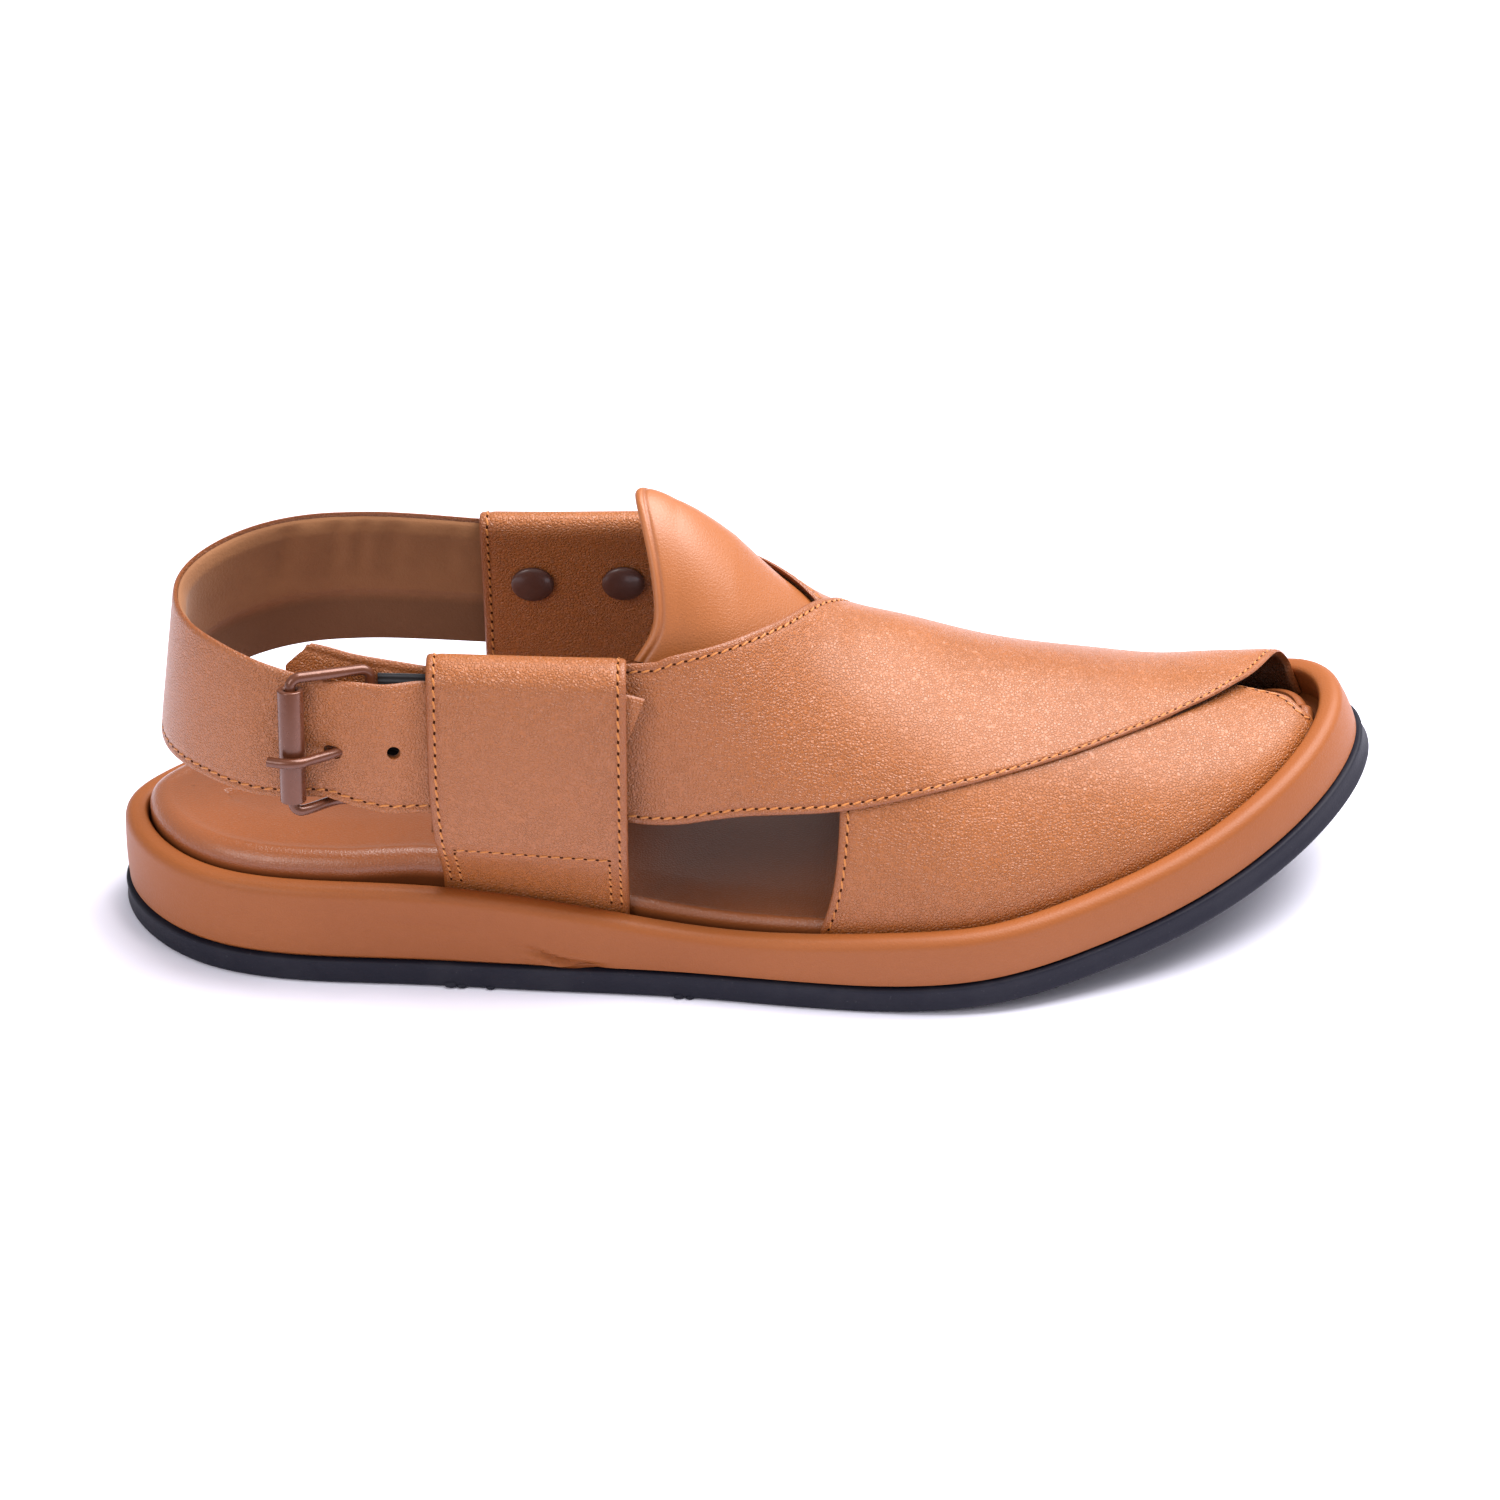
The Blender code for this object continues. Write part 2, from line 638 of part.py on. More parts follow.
def make_loop(name, start, inner, slot_top, stack, leather):
    """A doubled leather band: two layers round the slot, and one tail beside the footbed."""
    count = len(SLOT)
    cells = [(i, (i + 1) % count, count + (i + 1) % count, count + i) for i in range(count)]
    foot = (count - 1, 0)
    for first in range(2 * count, 2 * count + 6, 2):
        cells.append((*foot, first + 1, first))
        foot = (first, first + 1)
    stations = np.linspace(start, start + LOOP_WIDTH, LOOP_STATIONS)
    sections = [loop_section(x, inner, slot_top, stack) for x in stations]
    size = len(sections[0])
    sides = [tuple(sorted((cell[i], cell[(i + 1) % 4]))) for cell in cells for i in range(4)]
    edges = [side for side in set(sides) if sides.count(side) == 1]
    faces = list(cells)
    faces += [tuple(i + size * (LOOP_STATIONS - 1) for i in cell) for cell in cells]
    for level in range(LOOP_STATIONS - 1):
        low, high = level * size, (level + 1) * size
        faces += [(low + a, low + b, high + b, high + a) for a, b in sorted(edges)]
    add(name, mesh_of(name, bend(np.concatenate(sections)), faces), leather)


OUTER_STACK = (LAP_STEP - GAP, LAP_STEP + PANEL_WALL + GAP + ELASTIC_WALL + GAP + STRAP_WALL + GAP)
INNER_STACK = (-GAP, PANEL_WALL + GAP + STRAP_WALL + GAP)
STRAP_OUTER_REST = OUTER_STACK[1] - GAP - STRAP_WALL
STRAP_INNER_REST = INNER_STACK[1] - GAP - STRAP_WALL
TAB_OUT = LAP_STEP + PANEL_WALL
BAR_BULGE = 0.0009
BUCKLE_ROOM = TAB_OUT + GAP + WIRE_DIAMETER + GAP + BAR_BULGE


# Heel strap


def strap_point(way, level):
    """A point on the last's wall under the heel strap, at a height, with no standoff."""
    side = wall(HEEL_TURN, level, way > 1.5, 0.0)
    if way <= 1:
        return wall(STRAP_OUTER_END + (HEEL_TURN - STRAP_OUTER_END) * way, level, False, 0.0)
    if way >= 2:
        return wall(HEEL_TURN + (STRAP_INNER_END - HEEL_TURN) * (way - 2), level, True, 0.0)
    turn = math.pi * (way - 1.5)
    share = (level - (STRAP_TOP - STRAP_WIDTH)) / STRAP_WIDTH
    back = HEEL_BACK_BOTTOM + (HEEL_BACK_TOP - HEEL_BACK_BOTTOM) * share
    return np.array([HEEL_TURN - (HEEL_TURN - back) * math.cos(turn), side[1] * abs(math.sin(turn)), level])


def strap_surface(way, share):
    """A point of the heel strap's inner face: way along it, share of its width from the lower edge."""
    top = column(HEEL_STRAP, 1, way, STRAP_TOP)
    level = float(top - column(HEEL_STRAP, 2, way, STRAP_WIDTH) * (1 - share))
    rest = STRAP_OUTER_REST + (STRAP_INNER_REST - STRAP_OUTER_REST) * float(np.clip(way - 1.2, 0, 1))
    out = rest + eased(HEEL_STRAP, 3, way) * (BUCKLE_ROOM - STRAP_OUTER_REST)
    tiny, tick = 0.004, 0.0005
    along = strap_point(min(way + tiny, 3), level) - strap_point(max(way - tiny, 0), level)
    upward = strap_point(way, level + tick) - strap_point(way, level - tick)
    normal = np.cross(upward, along)
    normal /= np.linalg.norm(normal)
    flat = np.array([normal[0], normal[1], 0.0])
    return strap_point(way, level) + flat / (flat @ flat) * out


def make_heel_strap(leather):
    """One strap round the heel, its outer end trimmed on a slant, with punched holes."""
    ways = np.concatenate([
        np.linspace(0, 1, STRAP_STATIONS // 3, endpoint=False),
        np.linspace(1, 2, STRAP_STATIONS // 2, endpoint=False),
        np.linspace(2, 3, STRAP_STATIONS // 6 + 1),
    ])
    shares = np.linspace(0, 1, 5)
    grid = np.array([[strap_surface(way, share) for share in shares] for way in ways])
    grid[0, :, 0] -= STRAP_SLANT * shares
    strap = add("heel_strap", sheet("heel_strap", grid, flip=True), leather)
    thicken(strap, STRAP_WALL)
    run = STRAP_OUTER_END - HEEL_TURN
    for number, stretch in enumerate((PRONG_HOLE_STRETCH, 0.0)):
        place = PRONG_HOLE_STATION + number * HOLE_PITCH
        way = (STRAP_OUTER_END - place) / run
        prong = buckle_axes() @ Vector((0, -PRONG_DROP, BUCKLE_ROOM))
        top = column(HEEL_STRAP, 1, way, STRAP_TOP)
        share = 1 - (top - prong.z) / column(HEEL_STRAP, 2, way, STRAP_WIDTH)
        centre = Vector(strap_surface(way, share))
        ahead = Vector(strap_surface(way - 0.01, share) - strap_surface(way + 0.01, share)).normalized()
        up = Vector(strap_surface(way, share + 0.1) - strap_surface(way, share - 0.1)).normalized()
        out = ahead.cross(up).normalized()
        bpy.ops.mesh.primitive_cylinder_add(vertices=12, radius=HOLE_DIAMETER / 2, depth=4 * STRAP_WALL)
        punch = bpy.context.object
        punch.name = "hole_%d" % (number + 1)
        for corner in punch.data.vertices:
            corner.co.x -= stretch if corner.co.x < 0 else 0.0
        turn = Matrix((ahead, up, out)).transposed().to_4x4()
        punch.data.transform(Matrix.Translation(centre + out * STRAP_WALL / 2) @ turn)
        for holder in punch.users_collection:
            holder.objects.unlink(punch)
        CUTTERS.objects.link(as_cutter(punch))
        join_or_cut(strap, punch, "DIFFERENCE")


def make_elastic(webbing):
    """Short elastic between the over panel's tab and the strap, from the buckle's bar into the loop."""
    x = BAR_STATION + WIRE_DIAMETER / 2 + GAP + np.linspace(0, ELASTIC_LENGTH, 6)[None, :]
    height = BUCKLE_HEIGHT + ELASTIC_RAISE + ELASTIC_WIDTH * np.linspace(-0.5, 0.5, 5)[:, None]
    elastic = add("elastic", sheet("elastic", wall(x, height, False, TAB_OUT + GAP), flip=True), webbing)
    thicken(elastic, ELASTIC_WALL)


# Buckle


def buckle_axes():
    """Origin and axes of the buckle on the last's wall: along the foot, up the strap and outwards."""
    x = BAR_STATION - BUCKLE_LENGTH / 2
    centre = Vector(wall(x, BUCKLE_HEIGHT, False, 0.0))
    along = Vector(wall(x + 0.005, BUCKLE_HEIGHT, False, 0.0)) - Vector(wall(x - 0.005, BUCKLE_HEIGHT, False, 0.0))
    up = Vector(wall(x, BUCKLE_HEIGHT + 0.005, False, 0.0)) - Vector(wall(x, BUCKLE_HEIGHT - 0.005, False, 0.0))
    along.normalize()
    out = along.cross(up).normalized()
    turn = Matrix((along, out.cross(along), out)).transposed().to_4x4()
    return Matrix.Translation(centre) @ turn


def wire(name, points, diameter, metal, cyclic):
    """A round bar along a list of points."""
    curve = bpy.data.curves.new(name, "CURVE")
    curve.dimensions = "3D"
    curve.bevel_depth = diameter / 2
    curve.bevel_resolution = 2
    curve.use_fill_caps = not cyclic
    run = curve.splines.new("POLY")
    run.points.add(len(points) - 1)
    for point, place in zip(run.points, points):
        point.co = (*place, 1)
    run.use_cyclic_u = cyclic
    add(name, curve, metal)


BAR_OUT = TAB_OUT + GAP + WIRE_DIAMETER / 2
STRAP_SINK = 0.0002
ROLLER_OUT = BUCKLE_ROOM + STRAP_WALL + GAP + ROLLER_DIAMETER / 2 - STRAP_SINK


def make_buckle(metal):
    """Wire frame through the roller, and the prong that comes out of the strap's hole over the roller."""
    axes = buckle_axes()
    half = BUCKLE_LENGTH / 2
    path = []
    for number, (end, side) in enumerate(((1, 1), (-1, 1), (-1, -1), (1, -1))):
        for step in np.linspace(0, math.pi / 2, 5):
            turn = step + number * math.pi / 2
            ahead = end * (half - BUCKLE_CORNER) + BUCKLE_CORNER * math.cos(turn)
            up = side * (BUCKLE_HALF_WIDTH - BUCKLE_CORNER) + BUCKLE_CORNER * math.sin(turn)
            share = (ahead + half) / BUCKLE_LENGTH
            path.append(axes @ Vector((ahead, up, ROLLER_OUT + (BAR_OUT - ROLLER_OUT) * share)))
    wire("buckle_frame", path, WIRE_DIAMETER, metal, True)
    make_roller(axes, metal)
    over = ROLLER_OUT + (ROLLER_DIAMETER + PRONG_DIAMETER) / 2 + GAP
    root = half - (WIRE_DIAMETER + PRONG_DIAMETER) / 2 - GAP
    hole = PRONG_HOLE_STATION - BAR_STATION + half
    strap_in, strap_out = BUCKLE_ROOM, BUCKLE_ROOM + STRAP_WALL
    route = (
        (root, BAR_OUT),
        (hole + 1.2 * PRONG_DIAMETER, BAR_OUT),
        (hole + 0.4 * PRONG_DIAMETER, strap_in - 0.6 * PRONG_DIAMETER),
        (hole - 0.3 * PRONG_DIAMETER, strap_in),
        (hole - 0.9 * PRONG_DIAMETER, strap_out),
        (-half + 0.72 * ROLLER_DIAMETER, over - 0.38 * ROLLER_DIAMETER),
        (-half + 0.45 * ROLLER_DIAMETER, over - 0.12 * ROLLER_DIAMETER),
        (-half + 0.15 * ROLLER_DIAMETER, over),
        (-half - 0.35 * ROLLER_DIAMETER, over),
        (-half - 0.80 * ROLLER_DIAMETER, over - 0.12 * ROLLER_DIAMETER),
    )
    wire("buckle_prong", [axes @ Vector((a, -PRONG_DROP, out)) for a, out in route], PRONG_DIAMETER, metal, False)


def turned(name, profile, steps, finish, place):
    """A profile of radius and height turned about its axis, then placed."""
    shape = bpy.data.meshes.new(name)
    closed = profile[0][0] > 0
    edges = [(i, i + 1) for i in range(len(profile) - 1)]
    if closed:
        edges.append((len(profile) - 1, 0))
    shape.from_pydata([(radius, 0, level) for radius, level in profile], edges, [])
    made = add(name, shape, finish)
    screw = made.modifiers.new("turn", "SCREW")
    screw.steps = steps
    screw.render_steps = steps
    screw.use_merge_vertices = True
    screw.merge_threshold = 0.00001
    made.matrix_world = place


def make_roller(axes, metal):
    """Thin tube that turns on the frame's front bar."""
    bore = WIRE_DIAMETER / 2 + GAP
    half = ROLLER_LENGTH / 2
    profile = ((ROLLER_DIAMETER / 2, half), (ROLLER_DIAMETER / 2, -half), (bore, -half), (bore, half))
    place = axes @ Matrix.Translation((-BUCKLE_LENGTH / 2, 0, ROLLER_OUT)) @ Matrix.Rotation(-math.pi / 2, 4, "X")
    turned("buckle_roller", profile, ROLLER_STEPS, metal, place)


def make_stud(name, x, metal):
    """Domed snap cap on the inner face of the inner loop."""
    radius = STUD_DIAMETER / 2
    seat = INNER_STACK[0] - PANEL_WALL - GAP
    centre = Vector(wall(x, STUD_HEIGHT, True, seat))
    up = Vector(wall(x, STUD_HEIGHT + 0.002, True, seat)) - Vector(wall(x, STUD_HEIGHT - 0.002, True, seat))
    up.normalize()
    inward = up.cross(Vector((1, 0, 0))).normalized()
    if inward.y > 0:
        inward.negate()
    turn = Matrix((up.cross(inward), up, inward)).transposed().to_4x4()
    profile = (
        (0.0, STUD_RISE),
        (0.5 * radius, 0.95 * STUD_RISE),
        (0.82 * radius, 0.74 * STUD_RISE),
        (radius, 0.35 * STUD_RISE),
        (radius, 0.0),
        (0.0, 0.0),
    )
    turned(name, profile, STUD_STEPS, metal, Matrix.Translation(centre) @ turn)


def stand_at_origin():
    """Moves every object so that the origin is under the middle of the shoe's box."""
    bpy.context.view_layer.update()
    graph = bpy.context.evaluated_depsgraph_get()
    low, high = np.full(3, 1e9), np.full(3, -1e9)
    for made in PARTS.objects:
        shown = made.evaluated_get(graph)
        for corner in shown.to_mesh().vertices:
            place = np.array(made.matrix_world @ corner.co)
            low, high = np.minimum(low, place), np.maximum(high, place)
        shown.to_mesh_clear()
    shift = Vector((-(low[0] + high[0]) / 2, -(low[1] + high[1]) / 2, -low[2]))
    for made in [*PARTS.objects, *CUTTERS.objects]:
        made.location += shift


def main():
    """Builds the shoe."""
    clear_scene()
    leather = material("tan_leather", (0.50, 0.19, 0.06), 0.45)
    wrapped = material("tan_rand_leather", (0.48, 0.18, 0.06), 0.48)
    footbed = material("footbed_leather", (0.42, 0.17, 0.08), 0.38)
    rubber = material("black_rubber", (0.035, 0.035, 0.042), 0.70)
    metal = material("brown_painted_metal", (0.16, 0.085, 0.06), 0.35, 0.6)
    cap = material("dark_brown_cap", (0.06, 0.025, 0.018), 0.30)
    webbing = material("black_elastic", (0.02, 0.02, 0.02), 0.80)
    make_outsole(rubber)
    make_midsole(wrapped)
    make_insole(footbed)
    make_upper(leather)
    make_tongue(leather)
    make_loop("loop_outer", OUTER_LOOP_START, False, OUTER_SLOT_TOP, OUTER_STACK, leather)
    make_loop("loop_inner", INNER_LOOP_START, True, INNER_SLOT_TOP, INNER_STACK, leather)
    make_heel_strap(leather)
    make_elastic(webbing)
    make_buckle(metal)
    middle = INNER_LOOP_START + LOOP_WIDTH / 2
    make_stud("stud_rear", middle - STUD_PITCH / 2, cap)
    make_stud("stud_front", middle + STUD_PITCH / 2, cap)
    stand_at_origin()


main()
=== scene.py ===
"""Looks of a right peshawari chappal: leather, rubber, thread, webbing and painted metal over the solids.

Sizes are in metres. Shapes are worked out in the shoe's own frame, where x runs from the back of the heel
to the toe, y from the outer side to the inner side and h is the height over the floor curve. The function
bend lifts them at the toe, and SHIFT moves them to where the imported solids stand.
"""

import logging
import math
from dataclasses import dataclass
from enum import Enum

import bpy
import numpy as np
from mathutils import Matrix, Vector


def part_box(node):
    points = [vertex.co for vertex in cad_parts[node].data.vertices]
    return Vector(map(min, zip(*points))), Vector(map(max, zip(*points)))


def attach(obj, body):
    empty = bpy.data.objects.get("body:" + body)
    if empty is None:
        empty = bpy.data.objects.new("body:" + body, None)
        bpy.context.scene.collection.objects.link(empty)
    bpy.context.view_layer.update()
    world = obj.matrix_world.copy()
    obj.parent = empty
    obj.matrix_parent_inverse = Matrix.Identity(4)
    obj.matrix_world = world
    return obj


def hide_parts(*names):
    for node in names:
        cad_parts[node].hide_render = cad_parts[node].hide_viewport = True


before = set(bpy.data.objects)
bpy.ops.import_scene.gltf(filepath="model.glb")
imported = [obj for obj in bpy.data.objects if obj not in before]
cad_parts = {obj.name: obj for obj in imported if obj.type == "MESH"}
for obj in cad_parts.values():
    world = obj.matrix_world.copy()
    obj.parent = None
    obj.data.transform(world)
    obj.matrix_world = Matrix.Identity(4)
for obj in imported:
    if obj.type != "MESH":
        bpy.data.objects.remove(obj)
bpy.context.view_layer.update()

LOG = logging.getLogger("peshawari_chappal")
Array = np.ndarray
Piece = bpy.types.Object
Finish = bpy.types.Material
Table = tuple[tuple[float, ...], ...]

# Main sizes, as in the part's source
LENGTH = 0.290
BALL_WIDTH = 0.102
INSTEP_RISE = 0.090
TOE_SPRING = 0.028
SPRING_START = 0.57
GAP = 0.0003
OUTSOLE_THICKNESS = 0.006
OUTSOLE_WELT = 0.0010
RAND_HEIGHT = 0.0243
RAND_WIDTH = 0.0053
RAND_ROLL = 0.0016
SEAT_DEPTH = 0.007
HEEL_PAD_RISE = 0.0055
FOOTBED_CLEARANCE = 0.0006
HEEL_PAD_END = 0.19
TAIL_START = 0.24
BEAD_WIDTH = 0.0045
BEAD_DEPTH = 0.0008
PANEL_WALL = 0.0016
LAP_STEP = 0.0009
TONGUE_WALL = 0.0022
TONGUE_FRONT = 0.586
STRAP_WALL = 0.0024
ELASTIC_WALL = 0.0010
TOE_LIFT = 0.005
LOOP_WIDTH = 0.1510 * LENGTH
OUTER_LOOP_START = 0.2559 * LENGTH
INNER_LOOP_START = 0.2890 * LENGTH
OUTER_SLOT_TOP = 0.0782
INNER_SLOT_TOP = 0.0884
SLOT_BOTTOM = 0.0365
STRAP_TOP = 0.0817
STRAP_WIDTH = 0.0367
STRAP_TIP = 0.0050
STRAP_OUTER_END = OUTER_LOOP_START + LOOP_WIDTH + STRAP_TIP
STRAP_INNER_END = INNER_LOOP_START + LOOP_WIDTH - 0.7 * STRAP_TIP
HEEL_TURN = 0.1793 * LENGTH
HEEL_BACK_TOP = 0.0783 * LENGTH
HEEL_BACK_BOTTOM = 0.0603 * LENGTH
STRAP_SLANT = 0.0090
HOLE_DIAMETER = 0.0030
HOLE_PITCH = 0.0124
STRAP_TOP_IN_BUCKLE = 0.933
STRAP_WIDTH_IN_BUCKLE = 0.738
BUCKLE_DROP = 0.0013
BUCKLE_CLEARANCE = 0.0008
WIRE_DIAMETER = 0.0024
BUCKLE_HEIGHT = STRAP_TOP_IN_BUCKLE * STRAP_TOP - STRAP_WIDTH_IN_BUCKLE * STRAP_WIDTH / 2 - BUCKLE_DROP
BUCKLE_HALF_WIDTH = STRAP_WIDTH_IN_BUCKLE * STRAP_WIDTH / 2 + WIRE_DIAMETER / 2 + BUCKLE_CLEARANCE
BUCKLE_LENGTH = 0.0164
BUCKLE_CORNER = 0.0020
ROLLER_DIAMETER = 0.0058
ROLLER_LENGTH = 2 * BUCKLE_HALF_WIDTH - 2 * WIRE_DIAMETER
PRONG_DROP = 0.0026
PRONG_DIAMETER = 0.0023
BAR_STATION = 0.2138 * LENGTH
PRONG_HOLE_STATION = BAR_STATION - 0.0076
ELASTIC_LENGTH = OUTER_LOOP_START + 0.2 * LOOP_WIDTH - BAR_STATION
ELASTIC_WIDTH = 0.0280
ELASTIC_RAISE = 0.0020
STUD_DIAMETER = 0.0090
STUD_RISE = 0.0016
STUD_HEIGHT = 0.0715
STUD_PITCH = 0.473 * LOOP_WIDTH

# Camera, in the row's frame: the photograph looks square at the outer side and down on it
PHOTO_WIDTH = 1500
PIXELS_PER_METRE = 4370
CAMERA_DISTANCE = 1.0
CAMERA_ELEVATION = math.radians(32)
AIM_HEIGHT = 0.0383
SENSOR_WIDTH_MM = 36.0

# Sole outline: place along LENGTH, outer and inner half widths as shares of BALL_WIDTH
OUTLINE: Table = (
    # along, outer, inner
    (0.000, 0.000, 0.000),
    (0.028, -0.200, 0.160),
    (0.076, -0.312, 0.268),
    (0.152, -0.370, 0.335),
    (0.241, -0.387, 0.343),
    (0.345, -0.412, 0.338),
    (0.448, -0.436, 0.363),
    (0.534, -0.471, 0.422),
    (0.614, -0.495, 0.480),
    (0.690, -0.490, 0.505),
    (0.772, -0.422, 0.505),
    (0.852, -0.324, 0.485),
    (0.924, -0.181, 0.448),
    (0.972, -0.026, 0.388),
    (1.000, 0.205, 0.205),
)

# Rand and footbed: the rand's top as a share of RAND_HEIGHT, the footbed over it as a share of HEEL_PAD_RISE
PLATFORM: Table = (
    # along, rand, footbed
    (0.000, 1.00, 0.85),
    (0.100, 1.00, 0.85),
    (0.207, 1.00, 0.95),
    (0.293, 0.955, 0.95),
    (0.372, 0.835, 0.45),
    (0.452, 0.700, 0.20),
    (0.531, 0.690, 0.12),
    (0.607, 0.750, 0.00),
    (0.690, 0.750, -0.10),
    (0.830, 0.745, -0.30),
    (0.930, 0.740, -0.45),
    (1.000, 0.740, -0.50),
)

# Last: rise of the ridge over the rand, its place across, and the power of the arch
LAST: Table = (
    # along, rise, centre, power
    (0.138, 0.930, 0.000, 1.00),
    (0.345, 0.972, 0.000, 1.00),
    (0.414, 1.000, 0.000, 1.00),
    (0.434, 0.990, 0.002, 1.00),
    (0.462, 0.938, 0.005, 1.02),
    (0.500, 0.812, 0.012, 1.06),
    (0.524, 0.725, 0.016, 1.09),
    (0.552, 0.643, 0.020, 1.11),
    (0.631, 0.526, 0.039, 1.11),
    (0.728, 0.403, 0.059, 1.11),
    (0.817, 0.287, 0.078, 1.11),
    (0.862, 0.203, 0.106, 1.11),
    (0.900, 0.143, 0.127, 1.11),
    (0.938, 0.070, 0.150, 1.11),
    (0.976, 0.015, 0.172, 1.11),
)


@dataclass(frozen=True)
class Seen:
    """A point of an edge that the photograph shows, in its pixels across and down."""

    across: float
    down: float


@dataclass(frozen=True)
class Unseen:
    """A point of an edge that the photograph hides: a share of LENGTH and an angle over the last."""

    along: float
    angle: float


Edge = tuple[Seen | Unseen, ...]

# Over panel, from the inner base over the toes and the instep to the tab behind the buckle. Each place in
# one edge has its partner at the same place in the other
OVER_REAR: Edge = (
    Unseen(0.562, 180), Unseen(0.576, 150), Unseen(0.576, 125), Unseen(0.568, 108), Unseen(0.556, 95),
    Seen(812, 601), Seen(790, 614), Seen(766, 626), Seen(738, 638), Seen(700, 650), Seen(664, 659),
    Seen(634, 664), Unseen(0.334, 38), Unseen(0.262, 38), Unseen(0.150, 42),
)
OVER_FRONT: Edge = (
    Unseen(0.957, 180), Unseen(0.951, 140), Seen(1262, 664), Seen(1238, 681), Seen(1212, 696),
    Seen(1180, 711), Seen(1100, 744), Seen(1000, 776), Seen(900, 801), Seen(800, 815), Seen(700, 823),
    Seen(632, 824), Unseen(0.345, 15), Unseen(0.262, 14), Unseen(0.148, 18),
)

# Lift of each place of the front edge, as a share of TOE_LIFT
OVER_LIFT = (0.0, 0.7, 0.6, 0.42, 0.25, 0.1) + (0.0,) * 9

# Under panel, from the outer base over the toes and the instep to the tab in the inner loop
UNDER_REAR: Edge = (
    Seen(820, 935), Seen(838, 850), Unseen(0.566, 62), Unseen(0.552, 88), Unseen(0.524, 107),
    Unseen(0.497, 119), Unseen(0.469, 128), Unseen(0.436, 134), Unseen(0.375, 138), Unseen(0.310, 139),
)
UNDER_FRONT: Edge = (
    Seen(1316, 715), Seen(1295, 700), Seen(1262, 689), Unseen(0.865, 108), Unseen(0.786, 125),
    Unseen(0.700, 135), Unseen(0.600, 146), Unseen(0.483, 159), Unseen(0.379, 163), Unseen(0.310, 164),
)
UNDER_LIFT = (0.0,) * len(UNDER_REAR)

# Tongue: its rear edge, from behind the over panel up to the rounded top and down the inner side
TONGUE_REAR: Edge = (
    Seen(634, 661), Seen(651, 632), Seen(654, 600), Seen(649, 560), Seen(641, 520), Seen(636, 494),
    Unseen(0.421, 104), Unseen(0.437, 118), Unseen(0.443, 130), Unseen(0.450, 144),
)

# Heel strap: way is 0 to 1 along the outer side, 1 to 2 round the heel, 2 to 3 along the inner side. Its top
# is a share of STRAP_TOP, its width one of STRAP_WIDTH, and its lift one of the room over the buckle's bar
HEEL_STRAP: Table = (
    # way, top, width, lift
    (0.00, 0.885, 0.640, 0.00),
    (0.08, 0.900, 0.750, 0.00),
    (0.50, 0.912, 0.815, 0.00),
    (0.69, 0.918, 0.828, 0.00),
    (0.82, 0.922, 0.808, 1.00),
    (0.92, 0.927, 0.775, 1.00),
    (1.00, STRAP_TOP_IN_BUCKLE, STRAP_WIDTH_IN_BUCKLE, 1.00),
    (1.10, 0.958, 0.815, 1.00),
    (1.25, 0.986, 0.885, 0.60),
    (1.50, 1.010, 0.985, 0.30),
    (1.77, 1.056, 0.990, 0.00),
    (2.18, 1.082, 0.985, 0.00),
    (2.44, 1.062, 0.960, 0.00),
    (3.00, 1.060, 0.960, 0.00),
)

# Stack of the side straps, out from the last
RAND_OUTER = OUTSOLE_WELT
RAND_INNER = RAND_OUTER + RAND_WIDTH
OUTER_BASE = RAND_INNER + GAP + PANEL_WALL
INNER_BASE = OUTER_BASE + LAP_STEP
OUTER_STACK = (LAP_STEP - GAP, LAP_STEP + PANEL_WALL + GAP + ELASTIC_WALL + GAP + STRAP_WALL + GAP)
INNER_STACK = (-GAP, PANEL_WALL + GAP + STRAP_WALL + GAP)
STRAP_OUTER_REST = OUTER_STACK[1] - GAP - STRAP_WALL
STRAP_INNER_REST = INNER_STACK[1] - GAP - STRAP_WALL
TAB_OUT = LAP_STEP + PANEL_WALL
BAR_BULGE = 0.0009
BUCKLE_ROOM = TAB_OUT + GAP + WIRE_DIAMETER + GAP + BAR_BULGE
BAR_OUT = TAB_OUT + GAP + WIRE_DIAMETER / 2
STRAP_SINK = 0.0002
ROLLER_OUT = BUCKLE_ROOM + STRAP_WALL + GAP + ROLLER_DIAMETER / 2 - STRAP_SINK

# Creases, as seen square to the outer side
MIDSOLE_FOLDS: Table = (
    # start x, start height, end x, end height, depth, width
    (0.0960, 0.0110, 0.1035, 0.0080, 0.00110, 0.0007),
    (0.1000, 0.0086, 0.1120, 0.0068, 0.00110, 0.0009),
    (0.0900, 0.0120, 0.0985, 0.0106, 0.00035, 0.0011),
    (0.0620, 0.0170, 0.0850, 0.0150, 0.00020, 0.0010),
    (0.1180, 0.0190, 0.1500, 0.0165, 0.00020, 0.0020),
)
STRAP_FOLDS: Table = (
    # start x, start height, end x, end height, depth, width
    (0.0487, 0.0560, 0.0545, 0.0490, 0.00022, 0.0006),
    (0.0480, 0.0530, 0.0530, 0.0475, 0.00020, 0.0005),
    (0.0490, 0.0780, 0.0530, 0.0730, 0.00014, 0.0007),
    (0.0374, 0.0685, 0.0422, 0.0608, 0.00018, 0.0008),
    (0.0355, 0.0690, 0.0385, 0.0600, 0.00012, 0.0008),
    (0.0585, 0.0786, 0.0671, 0.0761, 0.00016, 0.0010),
)

# Wrinkles of the heel strap's lining; their width is a share of way
LINING_WRINKLES: Table = (
    # way, width, depth
    (1.86, 0.030, 0.0006),
    (1.98, 0.022, 0.0005),
    (2.06, 0.018, 0.0006),
    (2.16, 0.030, 0.0004),
    (2.34, 0.024, 0.0003),
    (1.40, 0.028, 0.0004),
)

